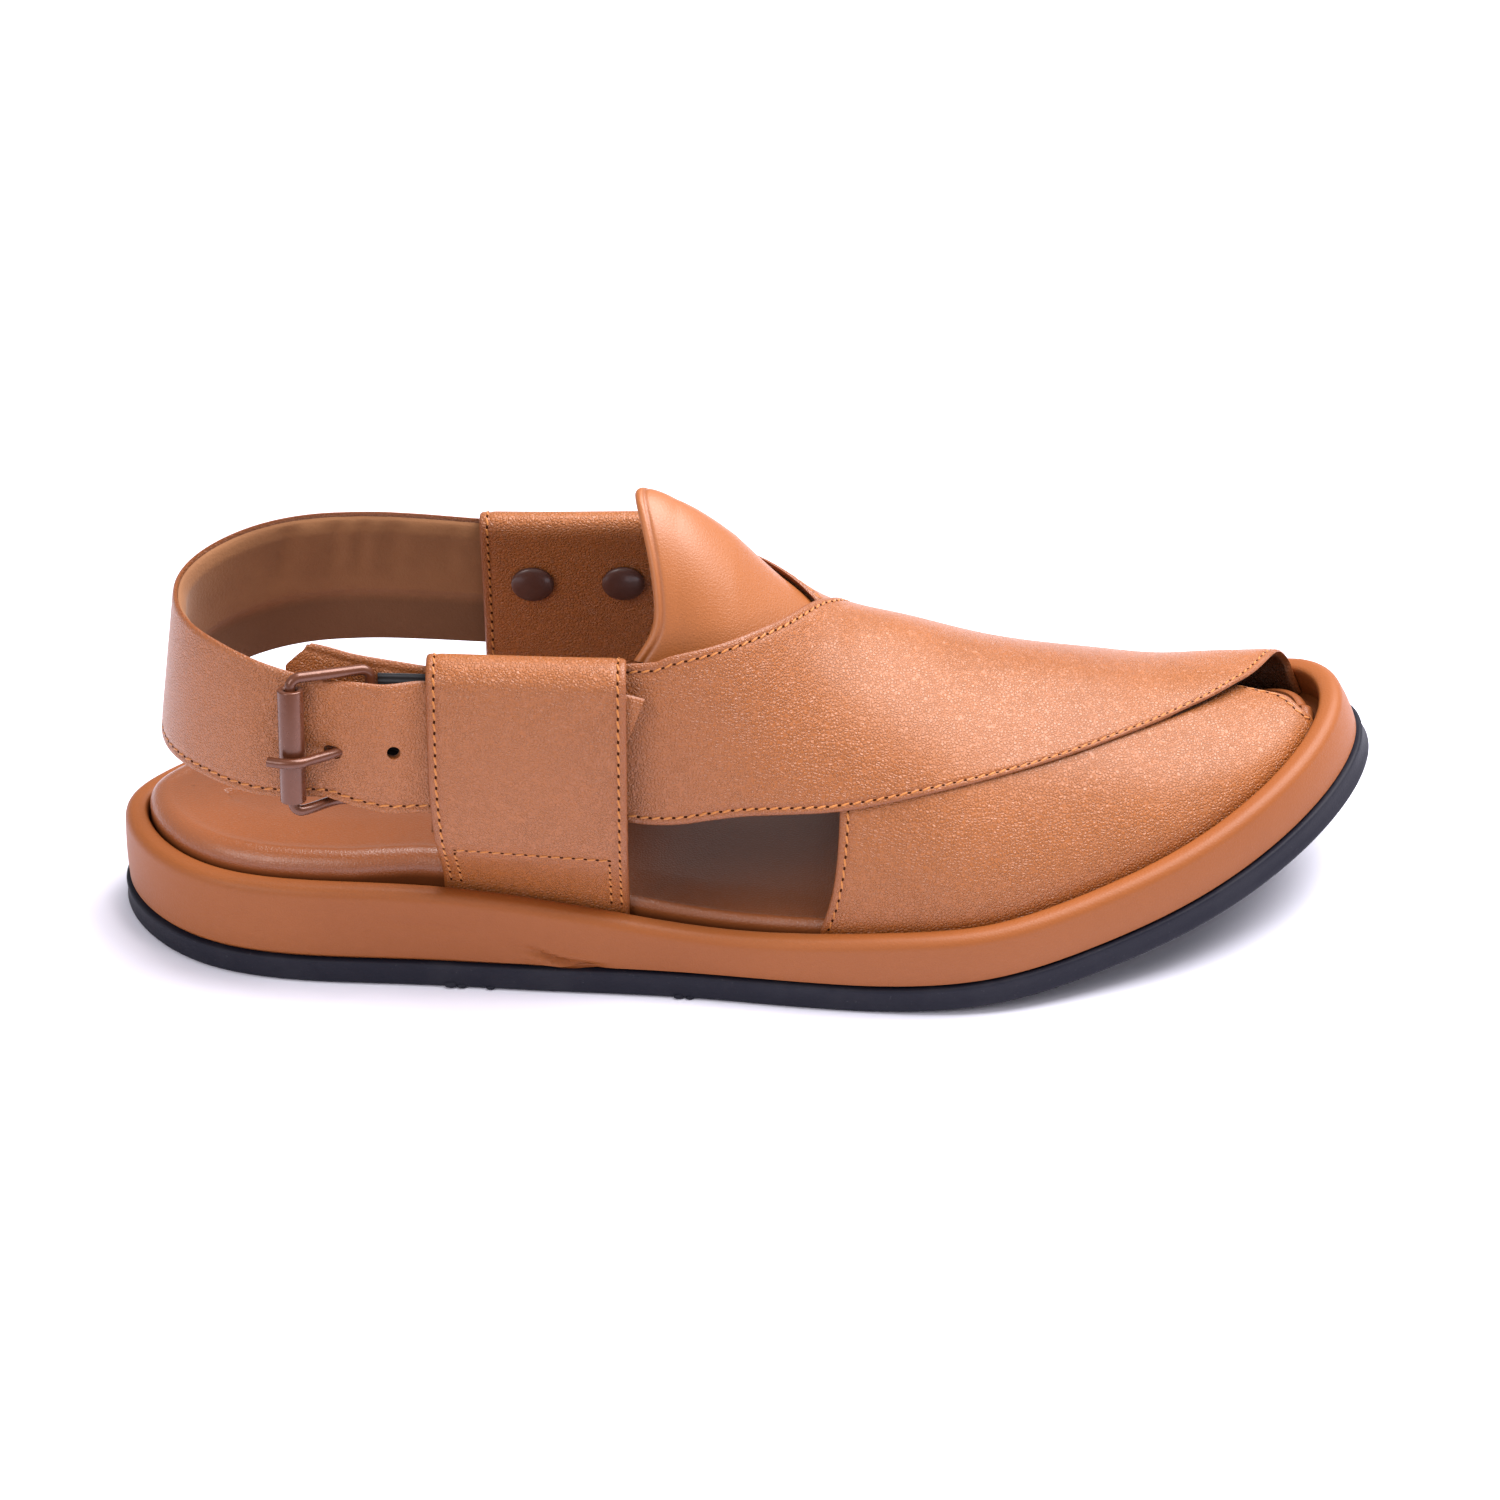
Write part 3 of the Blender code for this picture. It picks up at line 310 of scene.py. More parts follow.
# Rubber that the mould left on the outsole's lower edge
MOULD_BLOBS: Table = (
    # x, radius
    (0.0775, 0.0011),
    (0.0800, 0.0008),
    (0.0865, 0.0007),
    (0.1290, 0.0009),
    (0.1315, 0.0007),
)

# Sewing. A seam ends at a place along its panel's edge, where a band or the other panel hides it
SEAM_INSET = 0.0021
STITCH_PITCH = 0.0026
THREAD_DIAMETER = 0.00054
OVER_SEAM_END = 11.8
UNDER_SEAM_END = 7.6
SKIRT_ROWS = 5

# Search for the place on the last that a point of the photograph shows
SIGHT_ANGLES = (0.0, 120.0)
SIGHT_STATIONS = (0.14 * LENGTH, 0.98 * LENGTH)
SIGHT_REACH = 0.02
SIGHT_STEPS = 25
SIGHT_ROUNDS = 12
SIGHT_SHRINK = 0.35

# Points closer together than this are joined
WELD = 0.00001


class Side(Enum):
    """Which long edge of a leather piece a line follows."""

    REAR = "rear"
    FRONT = "front"


class Slot(Enum):
    """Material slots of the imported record."""

    RUBBER = "black_rubber"
    RAND = "tan_rand_leather"
    FOOTBED = "footbed_leather"
    LEATHER = "tan_leather"
    METAL = "brown_painted_metal"
    CAP = "dark_brown_cap"
    ELASTIC = "black_elastic"


# Curves


def spline(knots: Array, values: Array, at: Array, closed: bool = False) -> Array:
    """Cubic spline through values at knots.

    Args:
        knots: Rising places of the values.
        values: The values there.
        at: Places to read.
        closed: Whether the last knot is the first one again.

    Returns:
        The spline's value at each place.
    """
    knots, values = np.asarray(knots, float), np.asarray(values, float)
    count = len(knots)
    step = np.diff(knots)
    slope = np.diff(values) / step
    system, right = np.zeros((count, count)), np.zeros(count)
    for i in range(1, count - 1):
        system[i, i - 1:i + 2] = step[i - 1], 2 * (step[i - 1] + step[i]), step[i]
        right[i] = 6 * (slope[i] - slope[i - 1])
    if closed:
        system[0, 0], system[0, -1] = 1, -1
        system[-1, [0, 1, -2, -1]] = 2 * step[0], step[0], step[-1], 2 * step[-1]
        right[-1] = 6 * (slope[0] - slope[-1])
    else:
        system[0, 0] = system[-1, -1] = 1
    bend_of = np.linalg.solve(system, right)
    k = np.clip(np.searchsorted(knots, at, side="right") - 1, 0, count - 2)
    before = (knots[k + 1] - at) / step[k]
    after = 1 - before
    curve = (before ** 3 - before) * bend_of[k] + (after ** 3 - after) * bend_of[k + 1]
    return before * values[k] + after * values[k + 1] + curve * step[k] ** 2 / 6


def column(table: Table, index: int, at: Array, scale: float = 1.0) -> Array:
    """A column of a table, as a smooth function of the table's first column.

    Args:
        table: Rows of numbers.
        index: Which column to read.
        at: Places along the first column.
        scale: The size that the column is a share of.

    Returns:
        The column's value at each place.
    """
    rows = np.array(table, float)
    return spline(rows[:, 0], rows[:, index] * scale, np.clip(at, rows[0, 0], rows[-1, 0]))


def eased(table: Table, index: int, at: float) -> float:
    """A column of a table that eases from row to row and never swings past them.

    Args:
        table: Rows of numbers.
        index: Which column to read.
        at: A place along the first column.

    Returns:
        The column's value there.
    """
    rows = np.array(table, float)
    k = int(np.clip(np.searchsorted(rows[:, 0], at, side="right") - 1, 0, len(rows) - 2))
    share = np.clip((at - rows[k, 0]) / (rows[k + 1, 0] - rows[k, 0]), 0, 1)
    return rows[k, index] + (rows[k + 1, index] - rows[k, index]) * share ** 2 * (3 - 2 * share)


def smooth_step(low: float, high: float, at: Array) -> Array:
    """0 below low, 1 above high, and a soft rise between them."""
    share = np.clip((np.asarray(at, float) - low) / (high - low), 0, 1)
    return share ** 2 * (3 - 2 * share)


def crowded(count: int, strength: float = 0.8) -> Array:
    """Shares from 0 to 1 that lie closer together near both ends."""
    share = np.linspace(0, 1, count)
    return share - strength * np.sin(2 * math.pi * share) / (2 * math.pi)


def outline(inset: Array | float = 0.0, count: int = 72) -> Array:
    """The sole's outline as a ring of x and y, counterclockwise from the heel.

    Args:
        inset: How far the ring is moved in, one number or one for each point.
        count: Points round the ring.

    Returns:
        The ring's points.
    """
    rows = np.array(OUTLINE)
    turn = np.arccos(1 - 2 * rows[:, 0])
    knots = np.concatenate([turn, 2 * math.pi - turn[-2::-1]])
    widths = np.concatenate([rows[:, 1], rows[-2::-1, 2]]) * BALL_WIDTH
    angle = np.arange(count) * 2 * math.pi / count

    def ring(at: Array) -> Array:
        """Points of the outline at these turns."""
        return np.stack([LENGTH / 2 * (1 - np.cos(at)), spline(knots, widths, at % (2 * math.pi), True)], -1)

    tiny = 1e-3
    along = ring(angle + tiny) - ring(angle - tiny)
    along /= np.linalg.norm(along, axis=1, keepdims=True)
    inward = np.stack([-along[:, 1], along[:, 0]], -1)
    return ring(angle) + inward * np.reshape(inset, (-1, 1))


def rand_top(x: Array) -> Array:
    """Height of the rand's top over the floor curve."""
    return column(PLATFORM, 1, x / LENGTH, RAND_HEIGHT)


def footbed_top(x: Array) -> Array:
    """Height of the footbed's bead over the floor curve."""
    return rand_top(x) + column(PLATFORM, 2, x / LENGTH, HEEL_PAD_RISE)


def bend(points: Array) -> Array:
    """Turns x, y and h into a place in space, with the floor curve lifted at the toe.

    Args:
        points: Points of the shoe's own frame.

    Returns:
        The same points, bent.
    """
    x, y, h = np.moveaxis(np.asarray(points, float), -1, 0)
    run = LENGTH * (1 - SPRING_START)
    past = np.maximum(0, x - LENGTH * SPRING_START) / run
    tilt = np.arctan(2 * TOE_SPRING * past / run)
    return np.stack([x - h * np.sin(tilt), y, TOE_SPRING * past ** 2 + h * np.cos(tilt)], -1)


def standing_shift() -> Array:
    """How far the shoe's own frame is from the row's frame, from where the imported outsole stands."""
    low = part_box("outsole")[0]
    return np.array([low.x, low.y - outline()[:, 1].min(), 0.0])


SHIFT = standing_shift()


def pictured(points: Array) -> Array:
    """Where points of the row's frame are seen in the photograph, in its pixels across and down.

    Args:
        points: The points.

    Returns:
        Their places in the picture.
    """
    back = np.array([0, -math.cos(CAMERA_ELEVATION), math.sin(CAMERA_ELEVATION)])
    up = np.array([0, math.sin(CAMERA_ELEVATION), math.cos(CAMERA_ELEVATION)])
    away = points - np.array([LENGTH / 2 + SHIFT[0], SHIFT[1], AIM_HEIGHT])
    scale = PIXELS_PER_METRE * CAMERA_DISTANCE / (CAMERA_DISTANCE - away @ back)
    return PHOTO_WIDTH / 2 + np.stack([scale * away[..., 0], -scale * (away @ up)], -1)


class Last:
    """Foot form under the straps: arches over the rand, 0 degrees at the outer base and 180 at the inner."""

    def __init__(self) -> None:
        """Reads the tables at fine steps along the foot."""
        self.x = np.linspace(0, LENGTH, 600)
        self.rand = rand_top(self.x)
        self.rise = column(LAST, 1, self.x / LENGTH, INSTEP_RISE)
        self.centre = column(LAST, 2, self.x / LENGTH, BALL_WIDTH)
        self.power = np.interp(self.x / LENGTH, [row[0] for row in LAST], [row[3] for row in LAST])
        self.outer = self.base_line(OUTER_BASE, False)
        self.inner = self.base_line(INNER_BASE, True)

    def base_line(self, inset: float, inner: bool) -> Array:
        """Place across of the base on one side, at each step along the foot.

        Args:
            inset: How far the base lies in from the sole's outline.
            inner: Whether it is the inner side.

        Returns:
            The places across.
        """
        count = 400
        ring = outline(inset, count)
        half = ring[:count // 2 + 1]
        if inner:
            half = np.concatenate([ring[:1], ring[:count // 2 - 1:-1]])
        return np.interp(self.x, half[:, 0], half[:, 1])

    def arch(self, x: Array, angle: Array) -> Array:
        """Points of the last, as x, y and h.

        Args:
            x: Places along the foot.
            angle: Degrees over the last, from its outer base.

        Returns:
            The points.
        """
        centre, power = np.interp(x, self.x, self.centre), np.interp(x, self.x, self.power)
        base = np.where(angle < 90, np.interp(x, self.x, self.outer), np.interp(x, self.x, self.inner))
        turn = np.radians(angle)
        y = centre + (base - centre) * np.abs(np.cos(turn)) ** power
        rise = np.interp(x, self.x, self.rise) * np.abs(np.sin(turn)) ** power
        return np.stack([x, y, np.interp(x, self.x, self.rand) + rise], -1)

    def over(self, x: Array, angle: Array, out: Array | float) -> Array:
        """Points at a distance out from the last, along its normal.

        Args:
            x: Places along the foot.
            angle: Degrees over the last.
            out: The distance.

        Returns:
            The points.
        """
        x, angle, out = np.broadcast_arrays(np.asarray(x, float), np.asarray(angle, float), out)
        tiny, tick = 0.0005, 1.0
        along = self.arch(x + tiny, angle) - self.arch(x - tiny, angle)
        around = self.arch(x, np.minimum(angle + tick, 180)) - self.arch(x, np.maximum(angle - tick, 0))
        normal = np.cross(along, around)
        normal /= np.linalg.norm(normal, axis=-1, keepdims=True)
        return self.arch(x, angle) + normal * out[..., None]

    def wall(self, x: Array, height: Array, inner: bool, out: Array | float) -> Array:
        """Points of the last's side at a height, out from the wall by a distance square to it.

        Args:
            x: Places along the foot.
            height: Heights over the floor curve.
            inner: Whether it is the inner side.
            out: The distance.

        Returns:
            The points.
        """
        x, height, out = np.broadcast_arrays(np.asarray(x, float), np.asarray(height, float), out)

        def across(level: Array) -> Array:
            """Place across of the wall at a height.

            Args:
                level: The height.

            Returns:
                The place.
            """
            rise = (level - np.interp(x, self.x, self.rand)) / np.interp(x, self.x, self.rise)
            power = np.interp(x, self.x, self.power)
            sine = np.clip(rise, 0, 1) ** (1 / power)
            centre = np.interp(x, self.x, self.centre)
            base = np.interp(x, self.x, self.inner if inner else self.outer)
            return centre + (base - centre) * (1 - sine ** 2) ** (power / 2)

        tick = 0.001
        lean = (across(height + tick) - across(height - tick)) / (2 * tick)
        side = 1 if inner else -1
        return np.stack([x, across(height) + side * out * np.sqrt(1 + lean ** 2), height], -1)

    def sighted(self, point: Seen, out: float) -> tuple[float, float]:
        """Place on the last whose picture lies closest to a point of the photograph.

        Args:
            point: The point of the photograph.
            out: How far it lies out from the last.

        Returns:
            A share of LENGTH and an angle.
        """
        low, high = SIGHT_ANGLES
        x = LENGTH / 2 + (point.across - PHOTO_WIDTH / 2) / PIXELS_PER_METRE
        angle, reach_x, reach_angle = (low + high) / 2, SIGHT_REACH, (high - low) / 2
        spread = np.linspace(-1, 1, SIGHT_STEPS)
        for _ in range(SIGHT_ROUNDS):
            stations = np.clip(x + reach_x * spread, *SIGHT_STATIONS)[:, None]
            angles = np.clip(angle + reach_angle * spread, low, high)[None, :]
            seen = pictured(bend(self.over(stations, angles, out)) + SHIFT)
            miss = np.nan_to_num(np.linalg.norm(seen - (point.across, point.down), axis=-1), nan=PHOTO_WIDTH)
            row, place = np.unravel_index(np.argmin(miss), miss.shape)
            x, angle = stations[row, 0], angles[0, place]
            reach_x, reach_angle = SIGHT_SHRINK * reach_x, SIGHT_SHRINK * reach_angle
        LOG.info("edge point %d %d: %.3f along, %.1f degrees, %.1f pixels off", point.across, point.down,
                 x / LENGTH, angle, miss.min())
        return x / LENGTH, angle

    def traced(self, edge: Edge, out: Array | float) -> Array:
        """Places of an edge's points on the last.

        Args:
            edge: The points.
            out: How far the edge lies out from the last, one number or one for each point.

        Returns:
            Shares of LENGTH, then angles.
        """
        places = []
        for point, level in zip(edge, np.broadcast_to(out, len(edge))):
            hidden = isinstance(point, Unseen)
            places.append((point.along, point.angle) if hidden else self.sighted(point, level))
        return np.array(places).T


FORM = Last()


# Finishes


class Nodes:
    """Short ways to add and link the nodes of one material."""

    def __init__(self, name: str) -> None:
        """Starts a material with its Principled shader.

        Args:
            name: The material's name.
        """
        self.finish = bpy.data.materials.new(name)
        self.finish.use_nodes = True
        self.tree = self.finish.node_tree
        self.shader = self.tree.nodes["Principled BSDF"]
        self.place = self.add("ShaderNodeTexCoord").outputs["Object"]

    def add(self, kind: str, **settings: object) -> bpy.types.Node:
        """Adds a node; settings with a capital letter are input sockets, the others are properties.

        Args:
            kind: The node's type.
            settings: Its inputs and properties.

        Returns:
            The node.
        """
        node = self.tree.nodes.new(kind)
        for key, value in settings.items():
            if key[0].isupper():
                socket = node.inputs[key.replace("_", " ")]
                if isinstance(value, bpy.types.NodeSocket):
                    self.tree.links.new(value, socket)
                else:
                    socket.default_value = value
            else:
                setattr(node, key, value)
        return node

    def noise(self, scale: float, detail: float = 2.0, rough: float = 0.5,
              place: bpy.types.NodeSocket | None = None) -> bpy.types.NodeSocket:
        """Grey noise of a scale, in cells for each metre."""
        node = self.add("ShaderNodeTexNoise", Vector=place or self.place, Scale=scale, Detail=detail,
                        Roughness=rough)
        return node.outputs["Fac"]

    def ramp(self, value: bpy.types.NodeSocket, low: float, high: float, to_low: float = 0.0,
             to_high: float = 1.0) -> bpy.types.NodeSocket:
        """A value mapped from one range to another, with soft ends.

        Args:
            value: The value.
            low: Start of its range.
            high: End of its range.
            to_low: What the start becomes.
            to_high: What the end becomes.

        Returns:
            The mapped value.
        """
        node = self.add("ShaderNodeMapRange", Value=value, interpolation_type="SMOOTHSTEP")
        for key, number in (("From Min", low), ("From Max", high), ("To Min", to_low), ("To Max", to_high)):
            node.inputs[key].default_value = number
        return node.outputs["Result"]

    def maths(self, operation: str, first: object, second: object = 0.0) -> bpy.types.NodeSocket:
        """A sum, product or power of two values.

        Args:
            operation: The Math node's operation.
            first: A socket or a number.
            second: A socket or a number.

        Returns:
            The result.
        """
        node = self.tree.nodes.new("ShaderNodeMath")
        node.operation = operation
        for socket, value in zip(node.inputs, (first, second)):
            if isinstance(value, bpy.types.NodeSocket):
                self.tree.links.new(value, socket)
            else:
                socket.default_value = value
        return node.outputs[0]

    def mixed(self, share: bpy.types.NodeSocket, first: object, second: object) -> bpy.types.NodeSocket:
        """Two colours mixed by a share; each is a socket or red, green and blue.

        Args:
            share: The second colour's share.
            first: The first colour.
            second: The second colour.

        Returns:
            The mixed colour.
        """
        node = self.tree.nodes.new("ShaderNodeMix")
        node.data_type = "RGBA"
        self.tree.links.new(share, node.inputs["Factor"])
        for socket, value in ((node.inputs[6], first), (node.inputs[7], second)):
            if isinstance(value, bpy.types.NodeSocket):
                self.tree.links.new(value, socket)
            else:
                socket.default_value = (*value, 1)
        return node.outputs[2]

    def trait(self, name: str) -> bpy.types.NodeSocket:
        """A number that the piece's points carry."""
        return self.add("ShaderNodeAttribute", attribute_name=name).outputs["Fac"]

    def bumped(self, height: bpy.types.NodeSocket, depth: float,
               under: bpy.types.NodeSocket | None = None) -> bpy.types.NodeSocket:
        """A bump of a real depth, on top of another one.

        Args:
            height: The height, from 0 to 1.
            depth: What a height of 1 is.
            under: The bump below.

        Returns:
            The bumped normal.
        """
        node = self.add("ShaderNodeBump", Height=height, Distance=depth)
        if under is not None:
            self.tree.links.new(under, node.inputs["Normal"])
        return node.outputs["Normal"]

    def done(self, colour: object, roughness: object, normal: bpy.types.NodeSocket | None = None,
             **constants: float) -> Finish:
        """Sets the shader's sockets and returns the material.

        Args:
            colour: A socket or red, green and blue.
            roughness: A socket or a number.
            normal: The bumped normal.
            constants: Numbers of the shader's other sockets.

        Returns:
            The material.
        """
        for key, value in (("Base Color", colour), ("Roughness", roughness), ("Normal", normal)):
            if isinstance(value, bpy.types.NodeSocket):
                self.tree.links.new(value, self.shader.inputs[key])
            elif value is not None:
                self.shader.inputs[key].default_value = (*value, 1) if key == "Base Color" else value
        for key, value in constants.items():
            self.shader.inputs[key.replace("_", " ")].default_value = value
        return self.finish


@dataclass(frozen=True)
class LeatherFinish:
    """Dyed leather: two close tones, a darker edge tone for burnished edges and for painted shade in
    grooves, a dark back tone, and a pebbled grain.
    """

    name: str
    tone: tuple[float, float, float]
    light: tuple[float, float, float]
    edge: tuple[float, float, float]
    # Dark tone of the back faces: a darker underside that also serves as painted shade in the toe opening
    back: tuple[float, float, float] = (0.105, 0.040, 0.016)
    roughness: float = 0.41
    grain_scale: float = 1300.0
    grain_depth: float = 0.00020
    coat: float = 0.24
    coat_roughness: float = 0.34
    shine: float = 0.60
    cloud_scale: float = 18.0
    mottle_scale: float = 300.0
    warp_scale: float = 700.0
    warp_reach: float = 0.0004
    patch_scale: float = 45.0
    soft_scale: float = 110.0
    soft_depth: float = 0.00006
    pore_scale: float = 3200.0
    pore_depth: float = 0.00001

    def material(self) -> Finish:
        """Builds the leather.

        Returns:
            The material, with its colour clouds, pebbled grain, pores and gloss.
        """
        kit = Nodes(self.name)
        cloud = kit.ramp(kit.noise(self.cloud_scale), 0.30, 0.70)
        mottle = kit.ramp(kit.noise(self.mottle_scale, 3, 0.6), 0.35, 0.75, 0.0, 0.05)
        # How dark each point is: burnish at edges and seams, and painted shade in grooves and hollows
        wear_and_shade = kit.trait("burnish_and_shade")
        warp = kit.add("ShaderNodeTexNoise", Vector=kit.place, Scale=self.warp_scale, Detail=2.0)
        moved = kit.add("ShaderNodeVectorMath", operation="MULTIPLY_ADD")
        kit.tree.links.new(warp.outputs["Color"], moved.inputs[0])
        moved.inputs[1].default_value = (self.warp_reach,) * 3
        kit.tree.links.new(kit.place, moved.inputs[2])
        cells = kit.add("ShaderNodeTexVoronoi", Vector=moved.outputs[0], feature="DISTANCE_TO_EDGE",
                        Scale=self.grain_scale)
        pebble = kit.ramp(cells.outputs["Distance"], 0.0, 0.28)
        patch = kit.ramp(kit.noise(self.patch_scale), 0.35, 0.65, 0.80, 1.0)
        calm = kit.maths("SUBTRACT", 1.0, kit.maths("MULTIPLY", wear_and_shade, 0.7))
        grain = kit.maths("MULTIPLY", pebble, kit.maths("MULTIPLY", patch, calm))
        normal = kit.bumped(kit.noise(self.soft_scale), self.soft_depth)
        normal = kit.bumped(grain, self.grain_depth, normal)
        normal = kit.bumped(kit.noise(self.pore_scale, 2, 0.6), self.pore_depth, normal)
        tone = kit.mixed(cloud, self.tone, self.light)
        tone = kit.mixed(mottle, tone, self.edge)
        # Towards the edge tone by each point's darkness, which is burnish at edges and painted shade in
        # grooves
        tone = kit.mixed(kit.maths("MULTIPLY", wear_and_shade, 0.75), tone, self.edge)
        # Back faces take the dark back tone, partly a darker underside and partly painted shade in the toe
        # opening
        tone = kit.mixed(kit.trait("inside"), tone, self.back)
        gloss = kit.ramp(grain, 0.0, 1.0, self.roughness + 0.05, self.roughness)
        return kit.done(tone, gloss, normal, Coat_Weight=self.coat,
                        Coat_Roughness=self.coat_roughness, Specular_IOR_Level=self.shine)


@dataclass(frozen=True)
class RubberFinish:
    """Moulded black rubber with dust and scuffs."""

    name: str = "moulded_black_rubber"
    tone: tuple[float, float, float] = (0.009, 0.009, 0.018)
    dust: tuple[float, float, float] = (0.075, 0.073, 0.082)
    speck_scale: float = 900.0
    smear_scale: float = 60.0
    pit_scale: float = 1500.0
    pit_depth: float = 0.00008
    shine: float = 0.22

    def material(self) -> Finish:
        """Builds the rubber.

        Returns:
            The material, with its dust and scuffs.
        """
        kit = Nodes(self.name)
        specks = kit.ramp(kit.noise(self.speck_scale, 4, 0.7), 0.62, 0.76, 0.0, 0.5)
        smear = kit.ramp(kit.noise(self.smear_scale, 4, 0.6), 0.45, 0.75, 0.0, 0.16)
        share = kit.maths("MAXIMUM", specks, smear)
        normal = kit.bumped(kit.noise(self.pit_scale, 3, 0.6), self.pit_depth)
        gloss = kit.ramp(smear, 0.0, 0.22, 0.58, 0.74)
        tone = kit.mixed(share, self.tone, self.dust)
        return kit.done(tone, gloss, normal, Specular_IOR_Level=self.shine)


@dataclass(frozen=True)
class PaintFinish:
    """Brown paint on metal, glossy, with small chips of a lighter tone."""

    name: str
    tone: tuple[float, float, float]
    chip: tuple[float, float, float]
    roughness: float = 0.30
    metallic: float = 0.35
    chip_scale: float = 1300.0
    wave_scale: float = 500.0
    wave_depth: float = 0.00006
    coat: float = 0.4
    coat_roughness: float = 0.16

    def material(self) -> Finish:
        """Builds the painted metal.

        Returns:
            The material, with its chips.
        """
        kit = Nodes(self.name)
        chips = kit.ramp(kit.noise(self.chip_scale, 4, 0.7), 0.66, 0.72)
        wave = kit.noise(self.wave_scale)
        gloss = kit.ramp(wave, 0.3, 0.7, self.roughness - 0.04, self.roughness + 0.08)
        normal = kit.bumped(wave, self.wave_depth)
        return kit.done(kit.mixed(chips, self.tone, self.chip), gloss, normal, Metallic=self.metallic,
                        Coat_Weight=self.coat, Coat_Roughness=self.coat_roughness)


@dataclass(frozen=True)
class ClothFinish:
    """Thread, webbing or brushed lining: a matte base with fibres."""

    name: str
    tone: tuple[float, float, float]
    light: tuple[float, float, float]
    scale: float = 1800.0
    depth: float = 0.00008
    roughness: float = 0.75
    sheen: float = 0.15
    shine: float = 0.5
    cloud_scale: float = 60.0

    def material(self) -> Finish:
        """Builds the cloth.

        Returns:
            The material, with its fibres.
        """
        kit = Nodes(self.name)
        fibre = kit.noise(self.scale, 3, 0.65)
        cloud = kit.ramp(kit.noise(self.cloud_scale, 3), 0.3, 0.7, 0.0, 0.6)
        share = kit.maths("ADD", kit.maths("MULTIPLY", fibre, 0.5), cloud)
        tone = kit.mixed(share, self.tone, self.light)
        # Darker by each point's darkness; on the heel strap's lining this is painted shade below the pad
        wear_and_shade = kit.mixed(kit.maths("MULTIPLY", kit.trait("burnish_and_shade"), 0.8), tone,
                         tuple(0.45 * part for part in self.tone))
        return kit.done(wear_and_shade, self.roughness, kit.bumped(fibre, self.depth), Sheen_Weight=self.sheen,
                        Sheen_Roughness=0.5, Specular_IOR_Level=self.shine)


@dataclass(frozen=True)
class Wardrobe:
    """All finishes of the shoe, made once."""

    strap: Finish
    smooth: Finish
    rand: Finish
    footbed: Finish
    rubber: Finish
    metal: Finish
    cap: Finish
    thread: Finish
    hole: Finish
    lining: Finish
    webbing: Finish
    raw: Finish

    @staticmethod
    def made() -> "Wardrobe":
        """Makes every finish.

        Returns:
            The finishes, by what they cover.
        """
        return Wardrobe(
            strap=LeatherFinish("tan_pebbled_leather", (0.350, 0.100, 0.017), (0.375, 0.110, 0.020),
                                (0.215, 0.052, 0.008)).material(),
            smooth=LeatherFinish("tan_smooth_leather", (0.350, 0.100, 0.017), (0.375, 0.110, 0.020),
                                 (0.215, 0.052, 0.008), grain_depth=0.00003, roughness=0.45).material(),
            rand=LeatherFinish("tan_wrapped_leather", (0.285, 0.077, 0.014), (0.310, 0.087, 0.017),
                               (0.180, 0.043, 0.007), grain_depth=0.00003, roughness=0.48, coat=0.08,
                               shine=0.34).material(),
            footbed=LeatherFinish("polished_footbed_leather", (0.275, 0.076, 0.019), (0.310, 0.090, 0.025),
                                  (0.110, 0.029, 0.008), grain_depth=0.00004, roughness=0.30,
                                  coat=0.26).material(),
            rubber=RubberFinish().material(),
            metal=PaintFinish("brown_buckle_paint", (0.130, 0.036, 0.014), (0.26, 0.12, 0.08)).material(),
            cap=PaintFinish("dark_snap_enamel", (0.078, 0.028, 0.020), (0.10, 0.04, 0.03),
                            roughness=0.42, metallic=0.0).material(),
            thread=ClothFinish("orange_tan_thread", (0.470, 0.150, 0.024), (0.600, 0.215, 0.045),
                               scale=5000.0, depth=0.00002, roughness=0.55).material(),
            hole=ClothFinish("needle_hole_shadow", (0.035, 0.009, 0.003), (0.05, 0.014, 0.005),
                             depth=0.00002, roughness=0.95, sheen=0.0, shine=0.0).material(),
            lining=ClothFinish("brushed_tan_lining", (0.235, 0.092, 0.032), (0.300, 0.125, 0.046),
                               scale=1500.0, depth=0.00012, roughness=0.82, sheen=0.12).material(),
            webbing=ClothFinish("black_ribbed_webbing", (0.012, 0.012, 0.015),
                                (0.03, 0.03, 0.036)).material(),
            raw=ClothFinish("pale_raw_edge", (0.50, 0.24, 0.12), (0.90, 0.70, 0.56),
                            scale=2200.0, depth=0.0002, roughness=0.9).material(),
        )


# Making of pieces


def nothing_selected() -> None:
    """Leaves edit mode and deselects everything."""
    if bpy.context.object is not None and bpy.context.object.mode != "OBJECT":
        bpy.ops.object.mode_set(mode="OBJECT")
    bpy.ops.object.select_all(action="DESELECT")


def chosen(piece: Piece) -> None:
    """Selects one piece alone and makes it the active one.

    Args:
        piece: The piece.
    """
    nothing_selected()
    piece.select_set(True)
    bpy.context.view_layer.objects.active = piece


def linked(name: str, data: bpy.types.ID) -> Piece:
    """Puts some data into the scene as a new object.

    Args:
        name: The object's name.
        data: Its curve, light or camera.

    Returns:
        The object.
    """
    made = bpy.data.objects.new(name, data)
    bpy.context.scene.collection.objects.link(made)
    return made


def applied(piece: Piece, kind: str, **settings: object) -> None:
    """Adds a modifier to a piece and applies it.

    Args:
        piece: The piece.
        kind: The modifier's type.
        settings: Its settings.
    """
    chosen(piece)
    modifier = piece.modifiers.new(kind.lower(), kind)
    for key, value in settings.items():
        setattr(modifier, key, value)
    bpy.ops.object.modifier_apply(modifier=modifier.name)


def smoothed(piece: Piece, degrees: float = 42.0) -> None:
    """Shades a piece smooth and keeps the edges that are sharper than an angle."""
    chosen(piece)
    bpy.ops.object.shade_smooth_by_angle(angle=math.radians(degrees))


